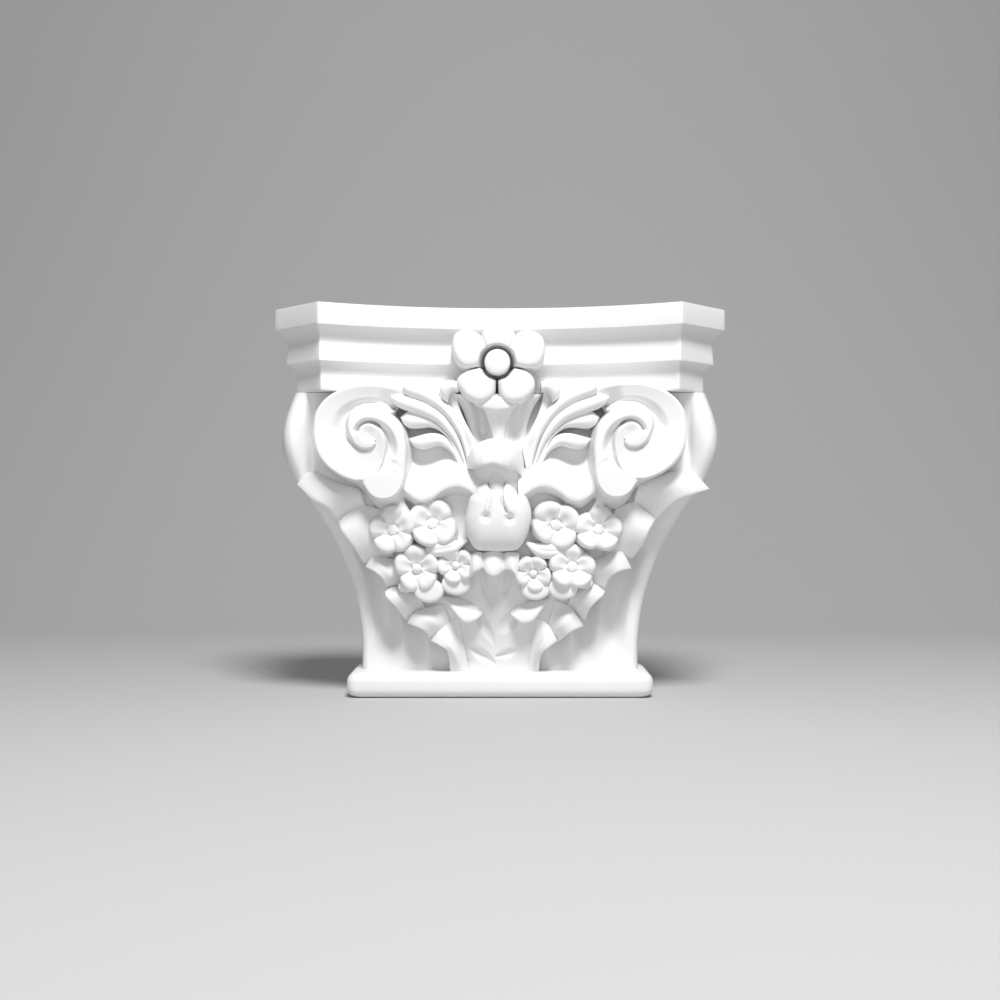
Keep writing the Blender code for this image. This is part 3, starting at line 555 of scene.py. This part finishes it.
# A blade between an upper and a lower edge in pixels. Across it, with t from 0 to 1, the front stands crown
# times the sine of the half turn from start to stop; along it, the depth follows its list.
def makeBlade(upper, lower, depths, crown, start=0.2, stop=0.85, rows=28):
    along = crowded(rows)
    top, low = curveAt(upper, along), curveAt(lower, along)
    t = crowded(15)[None, :]
    u = mix(top[:, :1], low[:, :1], t)
    v = mix(top[:, 1:], low[:, 1:], t)
    depth = np.interp(along, np.linspace(0, 1, len(depths)), depths)[:, None]
    wide = np.hypot(*(low - top).T)[:, None]
    size = np.sqrt(wide / wide.max())
    rim = 0.7 * ((2 * t - 1) ** 2) ** 8
    depth = depth + crown * size * np.sin(math.pi * mix(start, stop, t)) - rim
    x, z = toWall(u, v, depth)
    addPatch(x, z, depth, x, z, buried)


# blades beside the volute: upper edge, lower edge, depths from tip to stem, crown, start, stop
feather = (
    ([(403, 384), (414, 382.5), (429, 387), (443, 397), (456, 413), (466, 434), (474, 472)],
     [(403, 386), (406, 395), (426, 403), (444, 415), (456, 431), (463, 446), (470, 474)],
     (75, 71, 68, 66, 65), 5.0, 0.0, 0.9),
    ([(391.3, 396.5), (402, 394.5), (424, 401.5), (443, 413.5), (455.5, 430), (462.5, 446), (470, 472)],
     [(391.5, 398), (398, 406.5), (412, 412.5), (433, 420.5), (447, 433), (458, 449), (467, 474)],
     (76, 71, 68, 66, 64), 5.0, 0.1, 0.85),
    ([(401, 417), (409, 411.5), (421, 413), (434, 420), (447, 432.5), (457, 447), (467.5, 473)],
     [(401.2, 418.5), (405, 425), (413, 428.5), (433, 427.5), (446, 436), (455, 450), (465.5, 475)],
     (68, 67, 66, 65, 64), 5.0, 0.15, 0.85),
    ([(409, 438), (419, 435.5), (433, 433), (445, 436), (453, 446), (459, 456), (466, 476)],
     [(409.2, 440), (415, 447), (425, 449), (439, 445.5), (450, 451), (456.5, 461), (463, 478)],
     (62, 64, 65, 65, 64), 5.0, 0.15, 0.85),
)
# the leaf beside the vase, its outer and its inner edge, with its tip turned over outwards
curledLeaf = (
    [(441, 396), (448, 404), (456, 418), (463, 436), (469, 458)],
    [(458, 381.5), (457.5, 396), (462, 413), (470, 430), (478, 447), (474, 472)],
)
curlTip = (
    [(440.3, 397), (440.3, 388), (445.5, 381.5), (452, 380), (459, 382)],
    [(448.5, 403), (449.5, 397), (452, 392.5), (455, 391), (459, 392)],
)


# the blades, the leaf beside the vase and its tip, on one side
def makeFeather(side):
    for upper, lower, depths, crown, start, stop in feather:
        makeBlade(mirrored(upper, side), mirrored(lower, side), depths, crown, start, stop)
    outer, inner = curledLeaf
    makeBlade(mirrored(outer, side), mirrored(inner, side), (62, 64, 66, 66, 64), 4.0, 0.05, 0.7)
    outer, inner = curlTip
    makeBlade(mirrored(outer, side), mirrored(inner, side), (69, 71, 72, 72, 70), 4.0, 0.15, 0.85)


# The scalloped rim of the upper leaf, over the flowers

rim = {
    "low": [(396, 470), (399, 479), (402.4, 487), (408, 493.5), (420, 500.8), (432, 498.5), (441, 492),
            (450, 487.5), (459, 486.5), (467, 489), (475, 494), (482, 499)],
    "rise": 58.0,  # pixels from the rim up to where it dies into the hollow
    "depth": 75.0,
    "hollow": 53.0,
    "skirt": 8.0,  # pixels by which the wall under the rim slopes out below it
}


# Up from the rim the surface leans back along an S-curve into the hollow behind the leaves. It rolls over at
# the rim onto a sloping wall.
def makeRim(side):
    columns = 76
    low = curve(mirrored(rim["low"], side), columns)
    up = np.concatenate([[0, 0.012, 0.03], np.linspace(0.06, 1, 22)])[None, :]
    u = low[:, :1] + side * 4.0 * up**1.5 * np.linspace(1, -1, columns)[:, None]
    v = low[:, 1:] - rim["rise"] * up
    depth = mix(rim["depth"], rim["hollow"], smooth((up - 0.08) / 0.75)) + 0 * u
    depth = depth - 0.4 * (1 - smooth(up / 0.03))
    u = np.concatenate([u[:, :1], u], axis=1)
    v = np.concatenate([v[:, :1] + rim["skirt"], v], axis=1)
    depth = np.concatenate([depth[:, :1] - 12.0, depth], axis=1)
    x, z = toWall(u, v, depth)
    addPatch(x, z, depth, x, z, buried)


# Flowers

# middle in pixels, radius, turn in degrees, front depth, petals, rise of the boss
smallFlowers = (
    (392.5, 530.0, 24.0, -6, 72.5, 5, 0.9), (432.5, 523.5, 24.5, 29, 73.0, 4, 0.9),
    (417.0, 569.0, 23.0, -4, 70.0, 5, 2.6), (456.0, 565.5, 19.0, 50, 69.0, 5, 2.4),
    (599.6, 529.0, 23.5, 5, 72.5, 5, 0.9), (557.0, 525.0, 24.5, -29, 73.0, 4, 0.9),
    (573.0, 567.0, 23.0, 4, 70.0, 5, 1.2), (534.0, 574.0, 18.5, -42, 68.5, 5, 2.2),
)


flowerForm = {
    "edge": 3.4,  # drop from a petal's face to its rounded edge
    "cup": 4.0,  # depth of the hollow middle
    "crease": 3.2,  # depth between two petals
    "boss": 0.22,  # radius of the boss, as a share of the flower's
    "notch": {4: 0.66, 5: 0.60},  # radius of a petal for 4 and 5 petals, as a share of the flower's
    "tilt": 1.5,
    "columns": 90,
}


# Polar grid. Each petal is a circle of the notch's radius set off the centre, so its edge lies at
# c cos(a) + sqrt(n^2 - c^2 sin^2(a)). Depth: a cup that rises to a rounded edge, a crease at each gap, and
# the boss.
def makeFlower(middle, reach, turn, front, petals, bossRise):
    edge, cup = flowerForm["edge"], flowerForm["cup"]
    crease, boss = flowerForm["crease"], flowerForm["boss"]
    notch = flowerForm["notch"][petals]
    a = np.linspace(0, 2 * math.pi, flowerForm["columns"], endpoint=False)[None, :]
    local = (a * petals / (2 * math.pi) + 0.5) % 1 - 0.5  # -0.5 to 0.5 across a petal
    swing = local * 2 * math.pi / petals
    c = 1 - notch
    outline = c * np.cos(swing) + np.sqrt(np.maximum(notch**2 - (c * np.sin(swing)) ** 2, 0.01))
    outline = outline * (1 + 0.05 * np.sin(2 * a + turn) + 0.03 * np.sin(3 * a - turn))
    q = np.concatenate([np.linspace(1, 0.88, 7), np.linspace(0.84, 0.36, 10), np.linspace(0.32, 0.04, 8)])
    q = q[:, None]
    w = np.abs(local) * 2
    pillow = np.sqrt(np.clip(1 - np.clip((q - 0.82) / 0.185, 0, 1) ** 2.4, 0, 1))
    depth = front - edge * (1 - pillow) - crease * w**4 * smooth((q - 0.2) / 0.5)
    depth = depth - cup * (1 - smooth((q - 0.22) / 0.55)) * (1 - 0.35 * w**2)
    away = q * outline
    rise = np.sqrt(np.clip(1 - (away / boss) ** 2, 0, 1))
    moat = 1.2 * (1 - smooth((away - boss) / 0.1))
    depth = np.where(away < boss, front - cup + bossRise * rise, depth - moat)
    radius = away * reach
    around = a + math.radians(turn)
    tilt = flowerForm["tilt"] * np.sin(around + turn)
    depth = depth + tilt * q
    radius = np.concatenate([radius[:1] * 1.14, radius[:1] * 1.08, radius])
    depth = np.concatenate([0 * depth[:1] + buried, depth[:1] - 7.0, depth])
    x, z = toWall(middle[0] + radius * np.sin(around), middle[1] - radius * np.cos(around), front)
    addRings(x, depth, z)


fleuron = {
    "middle": (497.8, 361.8),
    "discRadius": 12.9,
    "ringRadius": 17.0,
    "ringDepth": 18.0,
    "front": 78.0,
    "edge": 71.5,
    # share of the disc's radius and depth
    "disc": ((1, 76.6), (0.985, 77.6), (0.95, 78.2), (0.85, 78.6), (0.6, 78.9), (0.3, 79.1), (0.05, 79.2)),
    "petals": (
        [(488, 353), (483, 343), (482, 333), (487, 325), (498.5, 320), (510.5, 325.5), (515.5, 333),
         (514, 343), (508, 353), (498, 358)],
        [(490, 358), (488, 346), (483, 336), (474, 330), (463, 329), (455, 333), (451.8, 342), (452.4, 352),
         (458, 363), (467, 368), (479, 366), (489, 364)],
        [(506, 358), (508.5, 346), (514, 336), (522, 330), (534, 330), (543, 336), (546, 346), (544.5, 357),
         (538.7, 366), (527, 368), (517, 366), (507, 364)],
        [(492, 365), (478, 367.5), (466, 371), (457.5, 378), (458, 387), (466.5, 397.5), (478, 402.8),
         (488.5, 400.5), (495, 394), (496.6, 381), (497, 367)],
        [(504, 365), (516.3, 367.5), (528, 371), (535, 379), (535, 390.5), (526, 400.4), (514.6, 403),
         (505, 400.5), (499.7, 393), (498.3, 381), (498, 367)],
    ),
}


# Rings shrink from the outline to its middle; depth is edge plus the rise times (1 - share^power)^(1/2), less
# each hollow, exp(-(distance / size)^sharp) round its own pixel, and each groove, a bell curve round its line
def makeDome(outline, edge, crown, hollows=(), power=2.0, columns=96, skirt=1.0, sharp=2.0, grooves=()):
    line = curve(list(outline) + [outline[0]], columns + 1)[:-1]
    middle = line.mean(axis=0)
    share = np.concatenate([np.linspace(1, 0.9, 6), np.linspace(0.87, 0.04, 22)])[:, None, None]
    u, v = np.moveaxis(middle + (line[None] - middle) * share, -1, 0)
    rise = np.sqrt(1 - share[..., 0] ** power)
    depth = edge + (crown - edge) * rise + 0 * u
    for hollowU, hollowV, size, deep in hollows:
        away = np.sqrt((u - hollowU) ** 2 + (v - hollowV) ** 2) / size
        depth = depth - deep * np.exp(-(away**sharp))
    for path, size, deep in grooves:
        dots = curve(path, 60)
        away = np.hypot(u[..., None] - dots[:, 0], v[..., None] - dots[:, 1]).min(axis=-1) / size
        depth = depth - deep * np.exp(-(away**2))
    outerU, outerV = np.moveaxis(middle + (line - middle) * skirt, -1, 0)
    u = np.concatenate([outerU[None], u])
    v = np.concatenate([outerV[None], v])
    depth = np.concatenate([0 * depth[:1] + buried, depth])
    x, z = toWall(u, v, crown)
    addRings(x, depth, z)


# five pillows round a ring groove, with a flat disc in it
def makeFleuron():
    u, v = fleuron["middle"]
    ring = (u, v, fleuron["ringRadius"], fleuron["ringDepth"])
    edge, front = fleuron["edge"], fleuron["front"]
    for petal in fleuron["petals"]:
        makeDome(petal, edge, front, [ring], power=8.0, columns=80, skirt=1.03, sharp=14.0)
    a = np.linspace(0, 2 * math.pi, 72, endpoint=False)[None, :]
    share, depth = np.array(((1, buried),) + fleuron["disc"]).T[..., None] + 0 * a
    radius = share * fleuron["discRadius"]
    x, z = toWall(u + radius * np.sin(a), v - radius * np.cos(a), front)
    addRings(x, depth, z)


# The middle, from the vase under the abacus down to the foot leaves

centre = {
    "capUpper": [(466.5, 466), (468, 457), (473, 448), (483, 441), (497, 437.8), (509, 439.5),
                 (518, 445.5), (523.5, 457), (525.5, 478)],
    "capLower": [(467, 468), (471, 469), (477, 467.5), (484, 466), (493, 464), (501, 466),
                 (508, 468.8), (517, 471), (524.5, 481)],
    "capDepths": (62, 69, 75, 78, 79, 78, 75, 69, 62),
    "underUpper": [(469, 470), (474, 463), (484, 458), (498, 456), (511, 459), (518, 464), (521, 474)],
    "underLower": [(468, 494), (474, 497), (484, 499), (498, 500), (512, 499), (521, 498), (527, 492)],
    "underDepths": (58, 62, 66, 68, 66, 62, 58),
    "stem": [(497.5, 455), (497, 475), (497.5, 490), (498.5, 505)],
    "bulb": [(467, 508), (469, 499), (472.9, 493), (476, 487.5), (481, 484), (486.3, 482.3), (491, 487),
             (498, 489), (503, 487), (507, 482.3), (512, 485.3), (517, 490), (521.2, 496.5), (525, 494),
             (529.5, 501), (532.5, 516), (528.5, 535), (519, 549.5), (505, 552.3), (490, 552), (476, 550),
             (467.5, 536), (465, 521)],
    # pixel, radius in pixels and depth of each hollow in the bulb
    "hollows": ((486, 516.8, 3.4, 5.0), (510, 518, 3.6, 5.5), (472.5, 490, 4.0, 3.0), (519, 492, 5.0, 4.0)),
}
# creases in the bulb: points in pixels, half-width in pixels, depth
creases = (
    ([(490, 482), (490.5, 494), (488, 506), (486, 515)], 2.0, 3.0),
    ([(506, 480), (502.8, 491.4), (503, 502), (507, 512)], 1.3, 5.0),
)
vase = {
    # pixel height, half-width in pixels, depth
    "rows": [(470, 31, 57), (448, 30, 60), (436, 28.5, 60.5), (424, 30, 61.5), (412, 34, 64), (404, 38, 67),
             (398, 42, 70), (394, 44, 71)],
    "middle": 498.0,
    # place and width as shares of the half-width, and depth
    "grooves": ((-0.50, 0.22, 12.0), (0.60, 0.19, 7.0)),
    "tongueLeft": [(482, 404), (486, 414), (490.5, 426), (494, 440)],
    "tongueRight": [(517, 404), (511, 414), (506.5, 426), (504, 440)],
    "lipUpper": [(474, 401.5), (484, 398), (497, 396), (509, 398), (518, 401.5)],
    "lipLower": [(474, 404.5), (484, 408), (497, 410), (509, 408.5), (518, 405)],
}


# a wide half-round that opens upwards, less bell-curve grooves at their shares of its half-width
def makeVase():
    rows = curve(vase["rows"], 30)
    s = (2 * crowded(49) - 1)[None, :]
    v, half, front = rows[:, :1], rows[:, 1:2], rows[:, 2:3]
    depth = front - 5 * np.abs(s) ** 3
    for place, width, deep in vase["grooves"]:
        depth = depth - deep * np.exp(-(((s - place) / width) ** 2)) * smooth((450 - v) / 20)
    x, z = toWall(vase["middle"] + half * s, v + 0 * s, depth)
    addPatch(x, z, depth, x, z, buried)


# vase with its tongue and lip, the overturned leaf tip with its shaded underside and stem, and the bulb
def makeCentre():
    makeVase()
    makeBlade(vase["tongueLeft"], vase["tongueRight"], (68, 65, 63, 62), 4.0, 0.12, 0.88)
    makeBlade(vase["lipUpper"], vase["lipLower"], (69, 72, 73, 72, 69), 3.0, 0.3, 0.7)
    makeBlade(centre["underUpper"], centre["underLower"], centre["underDepths"], 8.0, 0.45, 0.95, 40)
    makeBlade(centre["capUpper"], centre["capLower"], centre["capDepths"], 10.5, 0.03, 0.58, 60)
    makeLeaf(centre["stem"], (9, 8.5, 7.0, 6.0), (72, 76, 79, 79), crown=4.0, rows=36)
    makeDome(centre["bulb"], 71.0, 85.0, centre["hollows"], power=2.6, columns=120, grooves=creases)


# the fringe under the bulb: upper edge, lower edge
drops = (
    ([(482, 553), (490, 551.5), (498, 551.5), (506, 553)],
     [(483, 568), (488, 574.5), (496.4, 576.4), (505.5, 570)]),
    ([(470, 556), (475, 553), (480, 552), (485, 553)],
     [(470.8, 575.5), (474.5, 572.5), (479, 570.5), (484.5, 568)]),
    ([(503, 553), (508, 552), (513, 552), (520, 553)],
     [(504, 570.5), (510.4, 570.3), (514.5, 573.5), (517.5, 581)]),
)
# the small curled leaves over the foot: inner edge, flush with the ground, and rim
curls = (
    ([(444, 595), (455, 597), (468, 601), (478, 606), (483, 611)],
     [(443.5, 598), (457.5, 616), (466.2, 623.5), (476, 620.8), (483, 615)]),
    ([(549, 597), (538, 598), (526, 602), (517, 607), (511, 611)],
     [(549.8, 600), (541.5, 611), (533, 621.5), (522, 623.5), (512, 616)]),
)
# the leaves between the flowers: path, half-widths in pixels
flowerLeaves = (
    ([(423, 551), (436, 550), (452, 547), (468, 540.5)], (2, 7.5, 7.5, 1)),
    ([(570, 548), (556, 551), (541, 550), (526.5, 543)], (2, 7.5, 8.0, 1)),
)
# the scalloped leaf under the flowers: middle, half width and half height in pixels, and depth
scallops = (
    (429, 591, 15, 12, 66.0), (457, 584, 15, 11.5, 66.0), (406, 587, 8, 6, 65.0),
    (564, 588, 15, 12, 66.0), (536, 589, 15, 11.5, 65.0), (586, 583, 8, 6, 65.0),
)
# the pointed leaf between volute and rim, from its foot up
spear = [(403, 528), (402, 516), (401.5, 506), (401.5, 495.5)]


# everything below the bulb and round the flowers
def makeLowerDetails():
    for upper, lower in drops:
        makeBlade(upper, lower, (66, 69, 70, 69, 66), 6.0, 0.1, 0.6)
    for outer, inner in curls:
        makeBlade(outer, inner, (53, 54, 53, 53, 52), 8.0, 0.0, 0.6)
    for path, halves in flowerLeaves:
        makeLeaf(path, halves, (67, 71, 71, 69), crown=3.0, groove=0.5, flat=3.0, rows=30)
    turn = np.linspace(0, 2 * math.pi, 12, endpoint=False)
    for u, v, wide, tall, crown in scallops:
        outline = np.stack([u + wide * np.cos(turn), v + tall * np.sin(turn)], -1)
        makeDome(outline.tolist(), crown - 2.5, crown, power=7.0, columns=44, skirt=1.3)
    for side in (-1, 1):
        makeLeaf(mirrored(spear, side), (15, 11, 6, 0.5), (66, 70, 71, 70), crown=3, groove=1.0, rows=24)


# One casting out of all the closed surfaces

# whole arrays of points and faces, in metres, with all faces turned outwards
def meshOf(name, points, faceSets):
    mesh = bpy.data.meshes.new(name)
    faces = [face for block in faceSets for face in block.tolist()]
    mesh.from_pydata((points * 0.001).tolist(), [], faces)
    shape = bmesh.new()
    shape.from_mesh(mesh)
    bmesh.ops.recalc_face_normals(shape, faces=shape.faces)
    shape.to_mesh(mesh)
    shape.free()
    return bpy.data.objects.new(name, mesh)


# Boolean union of the first surface with all the others, kept as one plain mesh
def castTogether(name):
    others = bpy.data.collections.new("carvings")
    bpy.context.scene.collection.children.link(others)
    body = meshOf("body", *parts[0])
    bpy.context.scene.collection.objects.link(body)
    for index, part in enumerate(parts[1:]):
        others.objects.link(meshOf(f"carving{index}", *part))
    union = body.modifiers.new("castTogether", "BOOLEAN")
    union.operation = "UNION"
    union.operand_type = "COLLECTION"
    union.collection = others
    union.solver = "MANIFOLD"
    graph = bpy.context.evaluated_depsgraph_get()
    mesh = bpy.data.meshes.new_from_object(body.evaluated_get(graph))
    for old in list(others.objects) + [body]:
        bpy.data.objects.remove(old)
    bpy.data.collections.remove(others)
    casting = bpy.data.objects.new(name, mesh)
    bpy.context.scene.collection.objects.link(casting)
    return casting


makeBell()
makeAbacus()
makeAstragal()
makeLeafGround()
for lobes in (leftLobes, rightLobes):
    for topEdge, freeEdge, valley in lobes:
        makeLobe(topEdge, freeEdge, valley)
for side in (-1, 1):
    makeVolute(side)
    makeFeather(side)
    makeRim(side)
for u, v, reach, turn, front, petals, bossRise in smallFlowers:
    makeFlower((u, v), reach, turn, front, petals, bossRise)
makeFleuron()
makeCentre()
makeLowerDetails()
print("surfaces:", len(parts))

casting = castTogether("capitalCasting")
casting.data.shade_smooth()
casting.data.set_sharp_from_angle(angle=math.radians(40))
print("casting triangles:", sum(len(p.vertices) - 2 for p in casting.data.polygons))


# Finish

finish = {
    "light": (0.86, 0.86, 0.855, 1.0),
    "shade": (0.80, 0.80, 0.80, 1.0),
    "roughness": 0.58,
    "grainScale": 900.0,
    "waveScale": 38.0,
    "grainShare": 0.35,  # weight of the grain against the waves
    "bumpStrength": 0.10,
    "bumpDistance": 0.0003,
}


# fine grain of a painted casting and its slow waves: a height and a mask for colour
def castGrainGroup():
    group = bpy.data.node_groups.new("castGrain", "ShaderNodeTree")
    group.interface.new_socket("Vector", in_out="INPUT", socket_type="NodeSocketVector")
    group.interface.new_socket("Grain Scale", in_out="INPUT", socket_type="NodeSocketFloat")
    group.interface.new_socket("Wave Scale", in_out="INPUT", socket_type="NodeSocketFloat")
    group.interface.new_socket("Height", in_out="OUTPUT", socket_type="NodeSocketFloat")
    group.interface.new_socket("Mask", in_out="OUTPUT", socket_type="NodeSocketFloat")
    nodes, links = group.nodes, group.links
    entry = nodes.new("NodeGroupInput")
    leave = nodes.new("NodeGroupOutput")
    grain = nodes.new("ShaderNodeTexNoise")
    grain.inputs["Detail"].default_value = 3.0
    wave = nodes.new("ShaderNodeTexNoise")
    wave.inputs["Detail"].default_value = 2.0
    height = nodes.new("ShaderNodeMath")
    height.operation = "MULTIPLY_ADD"
    height.inputs[1].default_value = finish["grainShare"]
    links.new(entry.outputs["Vector"], grain.inputs["Vector"])
    links.new(entry.outputs["Vector"], wave.inputs["Vector"])
    links.new(entry.outputs["Grain Scale"], grain.inputs["Scale"])
    links.new(entry.outputs["Wave Scale"], wave.inputs["Scale"])
    links.new(grain.outputs["Fac"], height.inputs[0])
    links.new(wave.outputs["Fac"], height.inputs[2])
    links.new(height.outputs[0], leave.inputs["Height"])
    links.new(wave.outputs["Fac"], leave.inputs["Mask"])
    return group


# matte white, between a light and a shade along the waves, with the grain as a fine bump
def whiteCasting(grainGroup):
    material = bpy.data.materials.new("whiteCasting")
    material.use_nodes = True
    nodes, links = material.node_tree.nodes, material.node_tree.links
    shader = nodes["Principled BSDF"]
    shader.inputs["Roughness"].default_value = finish["roughness"]
    place = nodes.new("ShaderNodeTexCoord")
    grain = nodes.new("ShaderNodeGroup")
    grain.node_tree = grainGroup
    grain.inputs["Grain Scale"].default_value = finish["grainScale"]
    grain.inputs["Wave Scale"].default_value = finish["waveScale"]
    colour = nodes.new("ShaderNodeMix")
    colour.data_type = "RGBA"
    colour.inputs["A"].default_value = finish["shade"]
    colour.inputs["B"].default_value = finish["light"]
    bump = nodes.new("ShaderNodeBump")
    bump.inputs["Strength"].default_value = finish["bumpStrength"]
    bump.inputs["Distance"].default_value = finish["bumpDistance"]
    links.new(place.outputs["Object"], grain.inputs["Vector"])
    links.new(grain.outputs["Mask"], colour.inputs["Factor"])
    links.new(colour.outputs["Result"], shader.inputs["Base Color"])
    links.new(grain.outputs["Height"], bump.inputs["Height"])
    links.new(bump.outputs["Normal"], shader.inputs["Normal"])
    return material


casting.data.materials.clear()
casting.data.materials.append(whiteCasting(castGrainGroup()))
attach(casting, "root")
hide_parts(nodeName)
print("finish set")


# Floor and backdrop in one sweep

studio = {
    "grey": (0.53, 0.53, 0.53, 1.0),
    "halfWidth": 4.0,
    "front": -3.0,
    "back": 1.2,
    "sweep": 0.8,
    "height": 4.0,
    "roughness": 0.9,
    "aim": (0, -0.05, 0.14),
    # name: place, diameter, power
    "lights": {"keyLight": ((0.14, -0.92, 1.32), 0.45, 24.5), "frontFill": ((-0.2, -2.1, 0.40), 1.2, 5)},
    "surround": 0.22,
    "sensor": 36.0,
    "picture": 1000,  # pixels across
}


# floor, quarter circle and wall: one profile carried sideways
def makeBackdrop():
    turn = np.linspace(0, math.pi / 2, 25)
    sweep, back = studio["sweep"], studio["back"]
    y = np.concatenate([[studio["front"]], back - sweep + sweep * np.sin(turn), [back]])
    z = np.concatenate([[0], sweep * (1 - np.cos(turn)), [studio["height"]]])
    x = np.array([-studio["halfWidth"], studio["halfWidth"]])
    points = np.stack(np.broadcast_arrays(x[None, :], y[:, None], z[:, None]), -1).reshape(-1, 3)
    mesh = bpy.data.meshes.new("backdrop")
    mesh.from_pydata(points.tolist(), [], quads(len(y), 2, False)[:, ::-1].tolist())
    mesh.shade_smooth()
    backdrop = bpy.data.objects.new("backdrop", mesh)
    bpy.context.scene.collection.objects.link(backdrop)
    material = bpy.data.materials.new("backdropGrey")
    material.use_nodes = True
    shader = material.node_tree.nodes["Principled BSDF"]
    shader.inputs["Base Color"].default_value = studio["grey"]
    shader.inputs["Roughness"].default_value = studio["roughness"]
    mesh.materials.append(material)


# a round area light turned towards the aim
def addLight(name, place, size, power):
    data = bpy.data.lights.new(name, "AREA")
    data.shape = "DISK"
    data.size = size
    data.energy = power
    lamp = bpy.data.objects.new(name, data)
    lamp.location = place
    lamp.rotation_euler = (Vector(studio["aim"]) - Vector(place)).to_track_quat("-Z", "Y").to_euler()
    bpy.context.scene.collection.objects.link(lamp)


makeBackdrop()
for name, (place, size, power) in studio["lights"].items():
    addLight(name, place, size, power)
world = bpy.data.worlds.new("studioLight")
world.use_nodes = True
world.node_tree.nodes["Background"].inputs["Color"].default_value = (1.0, 1.0, 1.0, 1.0)
world.node_tree.nodes["Background"].inputs["Strength"].default_value = studio["surround"]
bpy.context.scene.world = world
bpy.context.scene.view_settings.view_transform = "Standard"

cameraData = bpy.data.cameras.new("camera")
cameraData.sensor_width = studio["sensor"]
cameraData.lens = studio["sensor"] * photoView["focal"] / studio["picture"]
camera = bpy.data.objects.new("camera", cameraData)
camera.location = (0, -photoView["away"] * 0.001, photoView["up"] * 0.001)
camera.rotation_euler = (math.pi / 2, 0, 0)
bpy.context.scene.collection.objects.link(camera)
bpy.context.scene.camera = camera
print("studio ready")
